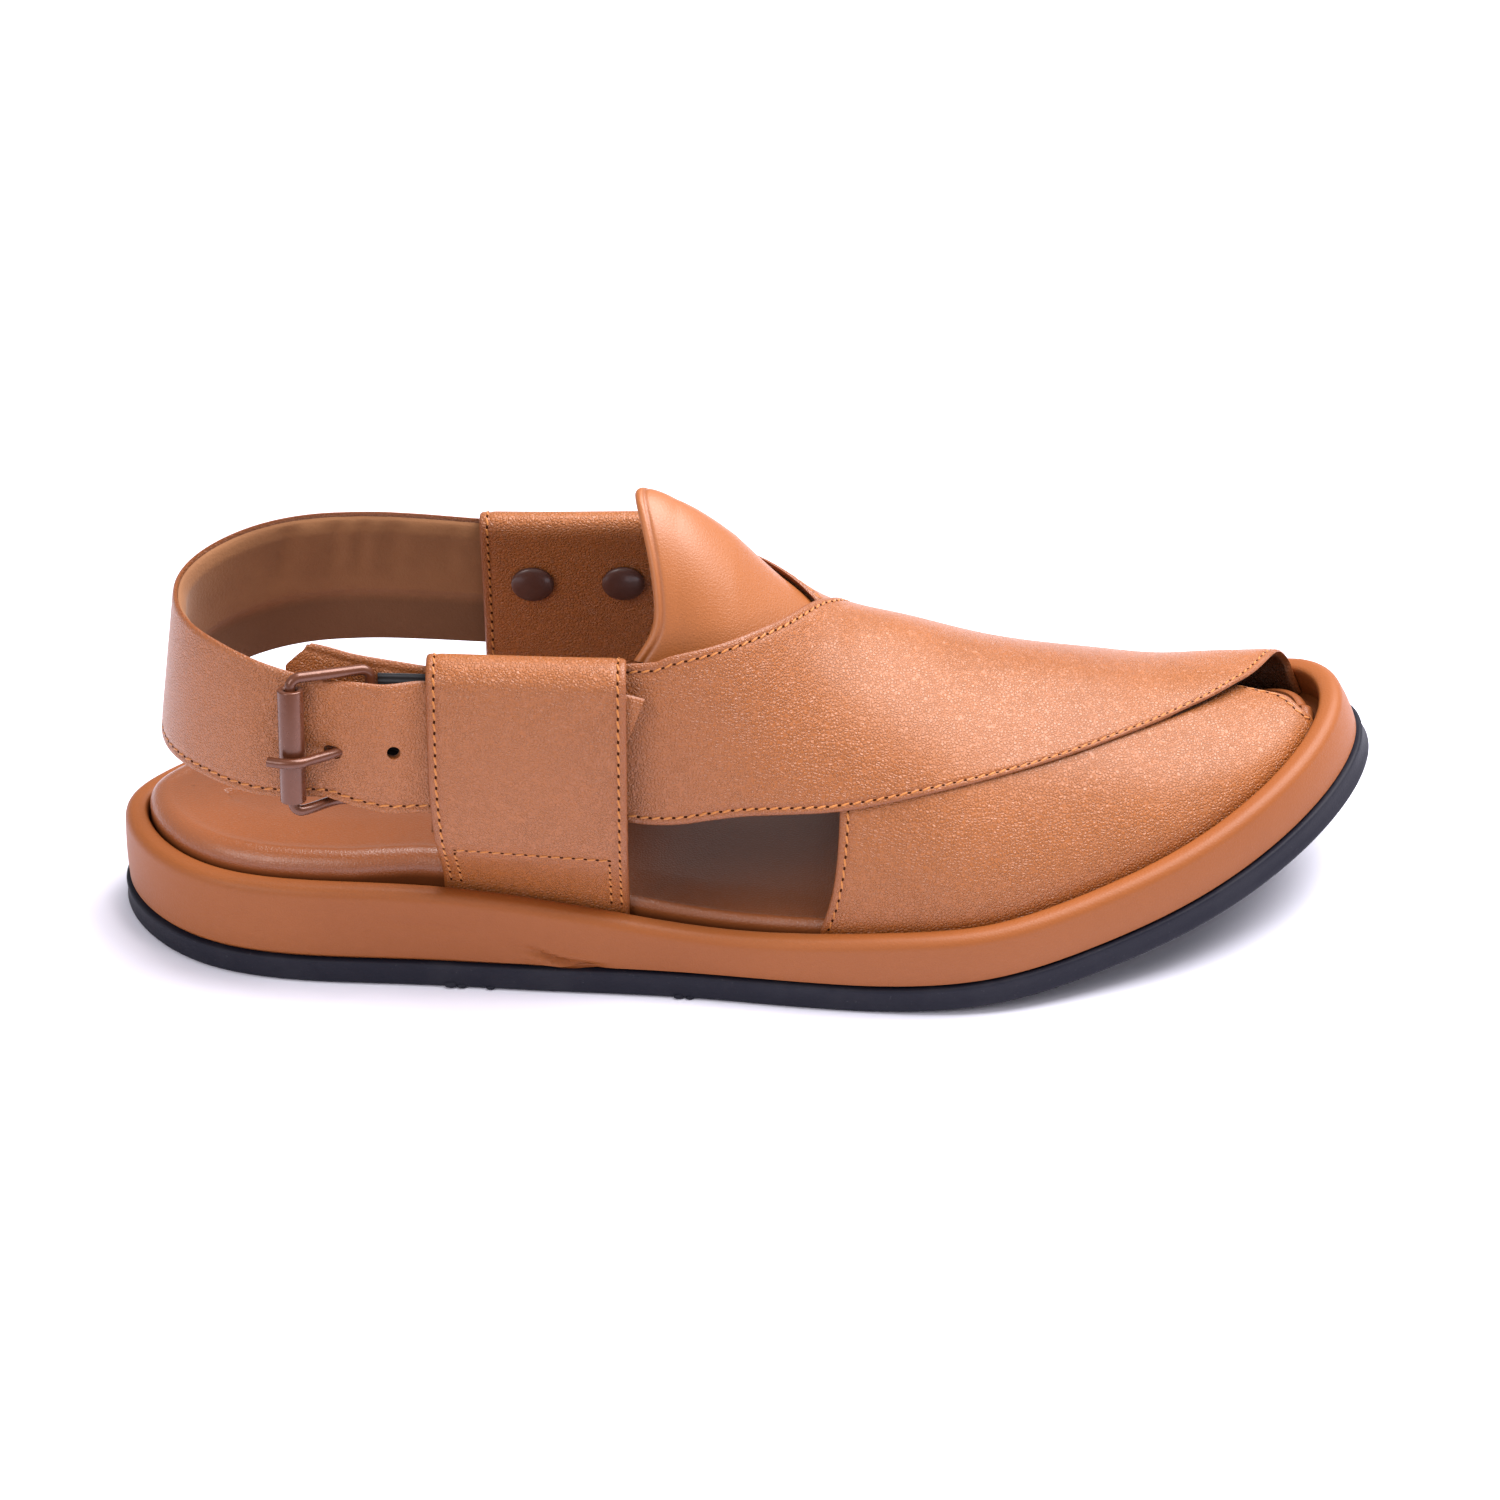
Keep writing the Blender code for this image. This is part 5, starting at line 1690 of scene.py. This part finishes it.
@dataclass
class SideLoop:
    """A doubled band that the side straps run through."""

    name: str
    node: str
    start: float
    inner: bool
    slot_top: float
    stack: tuple[float, float]
    boxed: bool
    columns: int = 64
    edge_radius: float = 0.0017
    edge_depth: float = 0.0008
    foot_taper: float = 0.0
    tail_rows: int = 6
    rise_rows: int = 14
    climb_rows: int = 44
    outer_rows: int = 60
    foot_seam_inset: float = 2.1 * SEAM_INSET

    def profile(self) -> Array:
        """Height and distance out of the band's outer face, up the outside, over the fold and down inside.

        Returns:
            Rows of height above the slot's foot as a share, and distance out; the tail has its own rows.
        """
        low, high = self.stack[0] - PANEL_WALL, self.stack[1] + PANEL_WALL
        middle, half = (low + high) / 2, (high - low) / 2
        climb = [(SLOT_BOTTOM + share * (self.slot_top - SLOT_BOTTOM), high)
                 for share in np.linspace(0.08, 0.93, self.climb_rows)]
        crest = self.slot_top + PANEL_WALL
        base = climb[-1][0]
        fold = [(base + (crest - base) * math.sin(t), middle + half * math.cos(t))
                for t in np.linspace(0, math.pi, 26)[1:-1]]
        fall = [(height, low) for height, _ in climb[::-1]]
        return np.array([*climb, *fold, *fall])

    def hide(self) -> Hide:
        """The band's outer face, from the tail beside the footbed to the foot of its inner layer.

        Returns:
            The cut, with its outer side in the first rows.
        """
        share_across = crowded(self.columns)
        x = self.start + LOOP_WIDTH * share_across
        path = self.profile()
        top = rand_top(x)
        tail = PANEL_WALL + (LAP_STEP if self.inner else 0.0)
        rows = []
        joint_height, joint_out = path[0]
        for share in np.linspace(0, 1, self.tail_rows + 1)[:-1]:
            height = top - (SEAT_DEPTH - GAP) * (1 - share)
            level = np.maximum(height, top)
            point = FORM.wall(x, level, self.inner, tail)
            rows.append(np.column_stack([x, point[:, 1], height]))
        for share in np.linspace(0, 1, self.rise_rows + 1)[:-1]:
            height = top + share * (joint_height - top)
            out = tail + (joint_out - tail) * smooth_step(0, 1, share)
            rows.append(FORM.wall(x, height, self.inner, out))
        for height, out in path:
            rows.append(FORM.wall(x, np.full_like(x, height), self.inner, out))
        foot = path[-1]
        for share in (0.35, 0.7, 1.0):
            height = foot[0] - share * 0.06 * (self.slot_top - SLOT_BOTTOM)
            out = foot[1] + share * 0.5 * (self.stack[1] - self.stack[0])
            rows.append(FORM.wall(x, np.full_like(x, height), self.inner, out))
        grid = np.array(rows)
        below = 1 - smooth_step(0.55 * SLOT_BOTTOM, 1.5 * SLOT_BOTTOM, grid[..., 2])
        outside = (np.arange(len(grid)) < self.outer_rows)[:, None]
        grid[..., 0] += self.foot_taper * below * outside * (1 - share_across)
        return Hide(bend(grid), flip=not self.inner)

    def build(self, wardrobe: Wardrobe) -> None:
        """Makes the band and sews it.

        Args:
            wardrobe: The finishes.
        """
        hide = self.hide()
        rear, front = hide.from_edge(Side.REAR), hide.from_edge(Side.FRONT)
        near = np.minimum(rear, front)
        height = hide.points[..., 2]
        fall = rolled(near, self.edge_radius, self.edge_depth) + seamed(near)
        outside = np.arange(len(height))[:, None] < self.outer_rows
        if self.boxed:
            fall += np.where(outside, 0.00025 * bell(height, 0.0007, SLOT_BOTTOM), 0.0)
        hide = hide.raised(-fall)
        piece = hide.piece(self.name, PANEL_WALL, burnished(near))
        settled(piece, wardrobe.strap, Slot.LEATHER, self.node)
        first = self.tail_rows + 1
        for side in Side:
            line = hide.line(side, SEAM_INSET, first, -4)
            Seam("%s_%s_seam" % (self.name, side.value), *line).build(wardrobe)
        if self.boxed:
            self.sew_box(hide, wardrobe)

    def sew_box(self, hide: Hide, wardrobe: Wardrobe) -> None:
        """Sews the line across the band's foot and the second line down each side below it.

        Args:
            hide: The band's finished face.
            wardrobe: The finishes.
        """
        middle = hide.points[:self.outer_rows, self.columns // 2, 2]
        row = int(np.argmin(np.abs(middle - SLOT_BOTTOM)))
        away = hide.from_rear()[row]
        inset = self.foot_seam_inset
        keep = (away > inset) & (away < away[-1] - inset)
        normals = hide.normals()
        Seam("%s_cross_seam" % self.name, hide.points[row, keep], normals[row, keep]).build(wardrobe)
        for side in Side:
            line = hide.line(side, inset, self.tail_rows + 1, row)
            Seam("%s_%s_foot_seam" % (self.name, side.value), *line).build(wardrobe)


# Heel strap


@dataclass
class HeelStrap:
    """Strap round the heel: outer leather, padded lining, raw lower edge and punched holes."""

    stations: int = 300
    columns: int = 46
    leather_wall: float = 0.0013
    lining_wall: float = 0.0009
    pad: float = 0.0011
    pad_foot: float = 0.36
    lining_height: float = 0.978
    prong_hole_stretch: float = 0.0009
    seam_inset: float = 0.0020
    seam_pitch: float = 0.0029
    skipped_columns: int = 3
    edge_shake: float = 0.00007
    raw_edge_diameter: float = 0.0007

    def point(self, way: float, level: float) -> Array:
        """A point on the last's wall under the strap, with no standoff.

        Args:
            way: Place along the strap.
            level: Height over the floor curve.

        Returns:
            The point.
        """
        side = FORM.wall(HEEL_TURN, level, way > 1.5, 0.0)
        if way <= 1:
            return FORM.wall(STRAP_OUTER_END + (HEEL_TURN - STRAP_OUTER_END) * way, level, False, 0.0)
        if way >= 2:
            return FORM.wall(HEEL_TURN + (STRAP_INNER_END - HEEL_TURN) * (way - 2), level, True, 0.0)
        turn = math.pi * (way - 1.5)
        share = (level - (STRAP_TOP - STRAP_WIDTH)) / STRAP_WIDTH
        back = HEEL_BACK_BOTTOM + (HEEL_BACK_TOP - HEEL_BACK_BOTTOM) * share
        x = HEEL_TURN - (HEEL_TURN - back) * math.cos(turn)
        return np.array([x, side[1] * abs(math.sin(turn)), level])

    def surface(self, way: float, share: float) -> Array:
        """A point of the strap's inner face: way along it, share of its width from the lower edge.

        Args:
            way: Place along the strap.
            share: Share of its width.

        Returns:
            The point.
        """
        top = column(HEEL_STRAP, 1, way, STRAP_TOP)
        level = float(top - column(HEEL_STRAP, 2, way, STRAP_WIDTH) * (1 - share))
        rest = STRAP_OUTER_REST + (STRAP_INNER_REST - STRAP_OUTER_REST) * float(np.clip(way - 1.2, 0, 1))
        out = rest + eased(HEEL_STRAP, 3, way) * (BUCKLE_ROOM - STRAP_OUTER_REST)
        tiny, tick = 0.004, 0.0005
        along = self.point(min(way + tiny, 3), level) - self.point(max(way - tiny, 0), level)
        upward = self.point(way, level + tick) - self.point(way, level - tick)
        normal = np.cross(upward, along)
        normal /= np.linalg.norm(normal)
        flat = np.array([normal[0], normal[1], 0.0])
        return self.point(way, level) + flat / (flat @ flat) * out

    def grid(self) -> tuple[Array, Array, Array]:
        """The strap's inner face.

        Returns:
            Its points, and the way and share of each row and column.
        """
        ways = np.concatenate([
            np.linspace(0, 1, self.stations // 3, endpoint=False),
            np.linspace(1, 2, self.stations // 2, endpoint=False),
            np.linspace(2, 3, self.stations // 6 + 1),
        ])
        shares = crowded(self.columns, 0.7)
        coarse = np.linspace(0, 1, 9)
        points = np.array([[self.surface(way, share) for share in coarse] for way in ways])
        fine = np.array([[np.interp(shares, coarse, row) for row in points[:, :, k]] for k in range(3)])
        fine = np.moveaxis(fine, 0, -1)
        slide = np.clip(1 - ways / 0.2, 0, 1)[:, None]
        fine[..., 0] -= slide * (0.001 + STRAP_SLANT * (1 - shares))
        return fine, ways, shares

    def punched(self, piece: Piece) -> None:
        """Cuts the prong's hole and the next one through a piece.

        Args:
            piece: The strap's leather or lining.
        """
        run = STRAP_OUTER_END - HEEL_TURN
        prong = buckle_axes() @ Vector((0, -PRONG_DROP, BUCKLE_ROOM))
        for number, stretch in enumerate((self.prong_hole_stretch, 0.0)):
            way = (STRAP_OUTER_END - PRONG_HOLE_STATION - number * HOLE_PITCH) / run
            top = column(HEEL_STRAP, 1, way, STRAP_TOP)
            share = 1 - (top - prong.z) / column(HEEL_STRAP, 2, way, STRAP_WIDTH)
            centre = Vector(self.surface(way, share) + SHIFT)
            ahead = Vector(self.surface(way - 0.01, share) - self.surface(way + 0.01, share)).normalized()
            up = Vector(self.surface(way, share + 0.1) - self.surface(way, share - 0.1)).normalized()
            out = ahead.cross(up).normalized()
            nothing_selected()
            bpy.ops.mesh.primitive_cylinder_add(vertices=32, radius=HOLE_DIAMETER / 2, depth=6 * STRAP_WALL)
            punch = bpy.context.object
            for corner in punch.data.vertices:
                corner.co.x -= stretch if corner.co.x < 0 else 0.0
            turn = Matrix((ahead, up, out)).transposed().to_4x4()
            punch.data.transform(Matrix.Translation(centre) @ turn)
            applied(piece, "BOOLEAN", operation="DIFFERENCE", solver="EXACT", object=punch)
            bpy.data.objects.remove(punch, do_unlink=True)
        smoothed(piece)

    def build(self, wardrobe: Wardrobe) -> None:
        """Makes the strap's leather, lining, raw edge and seam.

        Args:
            wardrobe: The finishes.
        """
        points, ways, shares = self.grid()
        inside = Hide(points, flip=False)
        outside = Hide(points, flip=True).raised(np.full(points.shape[:2], STRAP_WALL))
        outside = outside.creased(STRAP_FOLDS)
        low, high = outside.from_edge(Side.REAR), outside.from_edge(Side.FRONT)
        sewn = seamed(low, self.seam_inset, 0.0003, 0.0008)
        outside = outside.raised(-(rolled(low, 0.0012, 0.0004) + rolled(high, 0.0014, 0.0008) + sewn))
        wear_and_shade = 0.8 * bell(high, 0.0008) + 0.3 * bell(low, 0.0010, self.seam_inset)
        leather = outside.piece("heel_strap_leather", self.leather_wall, wear_and_shade)
        self.punched(leather)
        settled(leather, wardrobe.strap, Slot.LEATHER, "heel_strap")
        line = outside.line(Side.REAR, self.seam_inset)
        Seam("heel_strap_seam", *line, pitch=self.seam_pitch).build(wardrobe)
        self.line_inside(inside, ways, shares, wardrobe)
        self.fray(outside, wardrobe)

    def line_inside(self, inside: Hide, ways: Array, shares: Array, wardrobe: Wardrobe) -> None:
        """Makes the padded lining, with its wrinkles and the step to the bare leather below.

        Args:
            inside: The strap's inner face.
            ways: The way of each row.
            shares: The share of each column.
            wardrobe: The finishes.
        """
        way, share = ways[:, None], shares[None, :]
        keep = slice(self.skipped_columns, None)
        padded = smooth_step(0.9, 1.15, way) * (1 - smooth_step(2.75, 2.95, way))
        swell = smooth_step(self.pad_foot, self.pad_foot + 0.06, share) * (1 - smooth_step(0.90, 1.0, share))
        ripple = np.zeros(inside.points.shape[:2])
        for place, width, depth in LINING_WRINKLES:
            lean = place + 0.05 * (share - 0.7)
            fade = smooth_step(0.42, 0.75, share) * (1 - smooth_step(0.93, 1.0, share))
            ripple -= depth * fade * bell(way, width, lean)
            ripple += 0.5 * depth * fade * bell(way, width, lean + 1.7 * width)
        height = self.pad * padded * swell + ripple * padded - 0.0002
        lining = inside.raised(height)
        foot = lining.points[:, :1]
        lining = Hide((foot + (lining.points - foot) * self.lining_height)[keep], lining.flip)
        top = lining.from_edge(Side.FRONT)
        lining = lining.raised(-rolled(top, 0.0016, 0.0010))
        # Below the pad's foot the lining is painted darker, as shade low inside the heel
        below_pad_shade = 1 - smooth_step(self.pad_foot - 0.05, self.pad_foot + 0.02, share)
        wear_and_shade = np.broadcast_to(0.85 * below_pad_shade, height.shape)[keep]
        piece = lining.piece("heel_strap_lining", self.lining_wall, wear_and_shade)
        self.punched(piece)
        settled(piece, wardrobe.lining, Slot.LEATHER)

    def fray(self, outside: Hide, wardrobe: Wardrobe) -> None:
        """Makes the pale raw edge under the strap's leather, a thin uneven bead.

        Args:
            outside: The strap's outer face.
            wardrobe: The finishes.
        """
        path, normals = outside.line(Side.REAR, 0.0001)
        count = len(path)
        shake = np.random.default_rng(7).normal(0, 1, (count, 3)) * self.edge_shake
        path = path - normals * 0.0006 + shake + SHIFT
        piece = wire("heel_strap_raw_edge", path[2:], self.raw_edge_diameter, False, 2)
        settled(piece, wardrobe.raw)


# Buckle


def buckle_axes() -> Matrix:
    """Place of the buckle in the shoe's frame.

    Returns:
        Its origin and its axes: along the foot, up the strap and outwards.
    """
    x = BAR_STATION - BUCKLE_LENGTH / 2
    reach = 0.005

    def at(ahead: float, above: float) -> Vector:
        """A point of the last's wall near the buckle's middle."""
        return Vector(FORM.wall(x + ahead, BUCKLE_HEIGHT + above, False, 0.0))

    along = (at(reach, 0.0) - at(-reach, 0.0)).normalized()
    up = at(0.0, reach) - at(0.0, -reach)
    out = along.cross(up).normalized()
    return Matrix.Translation(at(0.0, 0.0)) @ Matrix((along, out.cross(along), out)).transposed().to_4x4()


@dataclass
class Buckle:
    """Wire frame, roller and prong in brown painted metal."""

    corner_steps: int = 12
    side_steps: int = 18
    prong_steps: int = 60
    roller_wall_round: float = 0.0004
    dip: tuple[float, float] = (0.02, 0.62)

    def frame_path(self, axes: Matrix) -> Array:
        """Centre line of the wire frame, whose lower side dips under the strap soon after the roller.

        Args:
            axes: The buckle's place.

        Returns:
            Its points.
        """
        half = BUCKLE_LENGTH / 2
        reach = half - BUCKLE_CORNER
        flat = []
        for number, (end, side) in enumerate(((1, 1), (-1, 1), (-1, -1), (1, -1))):
            for step in np.linspace(0, math.pi / 2, self.corner_steps):
                turn = step + number * math.pi / 2
                flat.append((end * reach + BUCKLE_CORNER * math.cos(turn),
                             side * (BUCKLE_HALF_WIDTH - BUCKLE_CORNER) + BUCKLE_CORNER * math.sin(turn)))
            if end == side:
                straight = end * np.linspace(reach, -reach, self.side_steps)[1:-1]
                flat += [(place, side * BUCKLE_HALF_WIDTH) for place in straight]
        path = []
        for ahead, up in flat:
            share = (ahead + half) / BUCKLE_LENGTH
            drop = smooth_step(*self.dip, share) if up < 0 else share
            path.append(axes @ Vector((ahead, up, ROLLER_OUT + (BAR_OUT - ROLLER_OUT) * drop)))
        return np.array(path)

    def prong_path(self, axes: Matrix) -> Array:
        """Centre line of the prong, from the bar through the strap's hole to its tip on the roller.

        Args:
            axes: The buckle's place.

        Returns:
            Its points.
        """
        half = BUCKLE_LENGTH / 2
        over = ROLLER_OUT + (ROLLER_DIAMETER + PRONG_DIAMETER) / 2 + GAP
        root = half - (WIRE_DIAMETER + PRONG_DIAMETER) / 2 - GAP
        hole = PRONG_HOLE_STATION - BAR_STATION + half
        route = np.array((
            (root, BAR_OUT),
            (hole + 1.9 * PRONG_DIAMETER, BAR_OUT + 0.3 * PRONG_DIAMETER),
            (hole + 1.0 * PRONG_DIAMETER, BUCKLE_ROOM),
            (hole + 0.2 * PRONG_DIAMETER, BUCKLE_ROOM + STRAP_WALL),
            (-half + 0.72 * ROLLER_DIAMETER, over - 0.38 * ROLLER_DIAMETER),
            (-half + 0.45 * ROLLER_DIAMETER, over - 0.12 * ROLLER_DIAMETER),
            (-half + 0.15 * ROLLER_DIAMETER, over),
            (-half - 0.35 * ROLLER_DIAMETER, over),
            (-half - 0.80 * ROLLER_DIAMETER, over - 0.12 * ROLLER_DIAMETER),
        ))
        steps = np.concatenate([[0], np.cumsum(np.linalg.norm(np.diff(route, axis=0), axis=1))])
        at = np.linspace(0, steps[-1], self.prong_steps)
        smooth = np.column_stack([spline(steps, route[:, k], at) for k in range(2)])
        return np.array([axes @ Vector((ahead, -PRONG_DROP, out)) for ahead, out in smooth])

    def build(self, wardrobe: Wardrobe) -> None:
        """Makes the buckle.

        Args:
            wardrobe: The finishes.
        """
        axes = Matrix.Translation(Vector(SHIFT)) @ buckle_axes()
        ring = wire("buckle_wire_frame", self.frame_path(axes), WIRE_DIAMETER, True)
        settled(ring, wardrobe.metal, Slot.METAL, "buckle_frame")
        prong = wire("buckle_wire_prong", self.prong_path(axes), PRONG_DIAMETER, False)
        settled(prong, wardrobe.metal, Slot.METAL, "buckle_prong")
        bore, half, skin = WIRE_DIAMETER / 2 + GAP, ROLLER_LENGTH / 2, ROLLER_DIAMETER / 2
        soft = self.roller_wall_round
        upper = [(skin - soft * (1 - math.sin(t)), half - soft * (1 - math.cos(t)))
                 for t in np.linspace(0, math.pi / 2, 5)]
        inner = [(bore + 0.0004, half), (bore, half - 0.0004)]
        ends = [*inner[::-1], *upper]
        profile = [*ends, *[(radius, -level) for radius, level in ends[::-1]], ends[0]]
        seat = Matrix.Translation((-BUCKLE_LENGTH / 2, 0, ROLLER_OUT))
        place = axes @ seat @ Matrix.Rotation(-math.pi / 2, 4, "X")
        roller = spun("buckle_roller_tube", tuple(profile), place)
        settled(roller, wardrobe.metal, Slot.METAL, "buckle_roller")


@dataclass
class SnapCaps:
    """Two domed caps on the inner loop."""

    spread: float = 1.08

    def build(self, wardrobe: Wardrobe) -> None:
        """Makes both caps.

        Args:
            wardrobe: The finishes.
        """
        middle = INNER_LOOP_START + LOOP_WIDTH / 2
        seat = INNER_STACK[0] - PANEL_WALL - GAP
        radius = self.spread * STUD_DIAMETER / 2
        dome = [(radius * math.sin(t), STUD_RISE * (0.3 + 0.7 * math.cos(t))) for t in
                np.linspace(0, 0.46 * math.pi, 10)]
        rim = [(radius, 0.35 * STUD_RISE), (radius, 0.0), (0.0, 0.0)]
        tick = 0.002
        for node, x in (("stud_rear", middle - STUD_PITCH / 2), ("stud_front", middle + STUD_PITCH / 2)):
            centre = Vector(FORM.wall(x, STUD_HEIGHT, True, seat))
            above, below = (FORM.wall(x, STUD_HEIGHT + step, True, seat) for step in (tick, -tick))
            up = Vector(above - below).normalized()
            inward = up.cross(Vector((1, 0, 0))).normalized()
            if inward.y > 0:
                inward.negate()
            turn = Matrix((up.cross(inward), up, inward)).transposed().to_4x4()
            stand = Matrix.Translation(centre + Vector(SHIFT)) @ turn
            cap = spun(node + "_cap", (*dome, *rim), stand)
            settled(cap, wardrobe.cap, Slot.CAP, node)


@dataclass
class Elastic:
    """Ribbed black webbing between the buckle's bar and the outer loop."""

    rib_pitch: float = 0.0011
    rib_height: float = 0.00012
    sag: float = 0.0017

    def build(self, wardrobe: Wardrobe) -> None:
        """Makes the webbing.

        Args:
            wardrobe: The finishes.
        """
        x = BAR_STATION + WIRE_DIAMETER / 2 + GAP + np.linspace(0, ELASTIC_LENGTH, 60)[None, :]
        middle = BUCKLE_HEIGHT + ELASTIC_RAISE - self.sag
        height = middle + ELASTIC_WIDTH * np.linspace(-0.5, 0.5, 150)[:, None]
        rib = self.rib_height * np.sin(2 * math.pi * height / self.rib_pitch) * np.ones_like(x)
        out = TAB_OUT + GAP + ELASTIC_WALL - self.rib_height + rib
        hide = Hide(FORM.wall(x, height, False, out), flip=True)
        piece = hide.piece("elastic_webbing", ELASTIC_WALL - 2 * self.rib_height)
        settled(piece, wardrobe.webbing, Slot.ELASTIC, "elastic")


# Studio


@dataclass
class Studio:
    """Pale floor, soft lights and the camera of the photograph."""

    floor_size: float = 8.0
    # The violet tint gives the floor's shadows their violet colour, a painted shade colour; the lit floor
    # clips to white
    floor_tone: tuple[float, float, float] = (0.885, 0.875, 0.985)
    sky_tone: tuple[float, float, float, float] = (1.0, 0.985, 1.0, 1.0)
    sky_strength: float = 0.50
    lit_point: tuple[float, float, float] = (0.0, 0.0, 0.03)

    def floor(self) -> None:
        """Lays the floor."""
        nothing_selected()
        bpy.ops.mesh.primitive_plane_add(size=self.floor_size)
        sheet = bpy.context.object
        sheet.name = "studio_floor"
        kit = Nodes("pale_floor")
        sheet.data.materials.append(kit.done(self.floor_tone, 0.8, None, Specular_IOR_Level=0.1))

    def lamp(self, name: str, place: tuple[float, float, float], size: float, power: float,
             tint: tuple[float, float, float]) -> None:
        """Hangs a square soft box that faces the shoe.

        Args:
            name: The lamp's name.
            place: Where it hangs.
            size: Length of its side.
            power: Its watts.
            tint: Its colour.
        """
        light = bpy.data.lights.new(name, "AREA")
        light.size = size
        light.energy = power
        light.color = tint
        made = linked(name, light)
        made.location = place
        aim = Vector(self.lit_point) - Vector(place)
        made.rotation_euler = aim.to_track_quat("-Z", "Y").to_euler()

    def sky(self) -> None:
        """Fills the room with even white light."""
        world = bpy.data.worlds.new("white_tent")
        world.use_nodes = True
        light = world.node_tree.nodes["Background"]
        light.inputs["Color"].default_value = self.sky_tone
        light.inputs["Strength"].default_value = self.sky_strength
        bpy.context.scene.world = world
        bpy.context.scene.view_settings.view_transform = "Standard"

    def camera(self) -> None:
        """Sets up the photograph's view."""
        data = bpy.data.cameras.new("photo_camera")
        data.sensor_width = SENSOR_WIDTH_MM
        data.lens = SENSOR_WIDTH_MM * PIXELS_PER_METRE * CAMERA_DISTANCE / PHOTO_WIDTH
        made = linked("photo_camera", data)
        aim = Vector((LENGTH / 2 + SHIFT[0], SHIFT[1], AIM_HEIGHT))
        back = Vector((0, -math.cos(CAMERA_ELEVATION), math.sin(CAMERA_ELEVATION)))
        made.location = aim + back * CAMERA_DISTANCE
        made.rotation_euler = (math.pi / 2 - CAMERA_ELEVATION, 0, 0)
        bpy.context.scene.camera = made

    def build(self) -> None:
        """Sets up everything round the shoe."""
        self.floor()
        self.sky()
        self.lamp("overhead_box", (0.42, 0.24, 1.0), 1.0, 29.0, (1.0, 0.985, 0.99))
        self.lamp("front_box", (-0.70, -0.75, 0.75), 0.6, 5.0, (1.0, 0.97, 0.98))
        self.camera()


def main() -> None:
    """Builds the looks in order and keeps both boxes."""
    logging.basicConfig(level=logging.INFO, format="%(name)s: %(message)s")
    wardrobe = Wardrobe.made()
    Sole().build(wardrobe)
    under = Panel("under_panel_leather", UNDER_REAR, UNDER_FRONT, UNDER_LIFT, 0.0, True)
    over = Panel("over_panel_leather", OVER_REAR, OVER_FRONT, OVER_LIFT, LAP_STEP, False, curl=0.0003,
                 corner_cut=0.0055)
    under_hide, over_hide = under.build(wardrobe), over.build(wardrobe)
    over_end = SKIRT_ROWS + int(over.rows * OVER_SEAM_END / (len(OVER_REAR) - 1))
    under_end = SKIRT_ROWS + int(under.rows * UNDER_SEAM_END / (len(UNDER_REAR) - 1))
    for name, hide, side, end in (
        ("over_throat_seam", over_hide, Side.REAR, over_end),
        ("over_lower_seam", over_hide, Side.FRONT, over_end),
        ("under_rear_seam", under_hide, Side.REAR, under_end),
        ("under_toe_seam", under_hide, Side.FRONT, under_end),
    ):
        Seam(name, *hide.line(side, SEAM_INSET, SKIRT_ROWS, end)).build(wardrobe)
    Tongue().build(wardrobe)
    SideLoop("outer_band", "loop_outer", OUTER_LOOP_START, False, OUTER_SLOT_TOP, OUTER_STACK, True,
             foot_taper=0.0022).build(wardrobe)
    SideLoop("inner_band", "loop_inner", INNER_LOOP_START, True, INNER_SLOT_TOP, INNER_STACK,
             False).build(wardrobe)
    for maker in (HeelStrap(), Elastic(), Buckle(), SnapCaps()):
        maker.build(wardrobe)
    Studio().build()


if __name__ == "__main__":
    main()
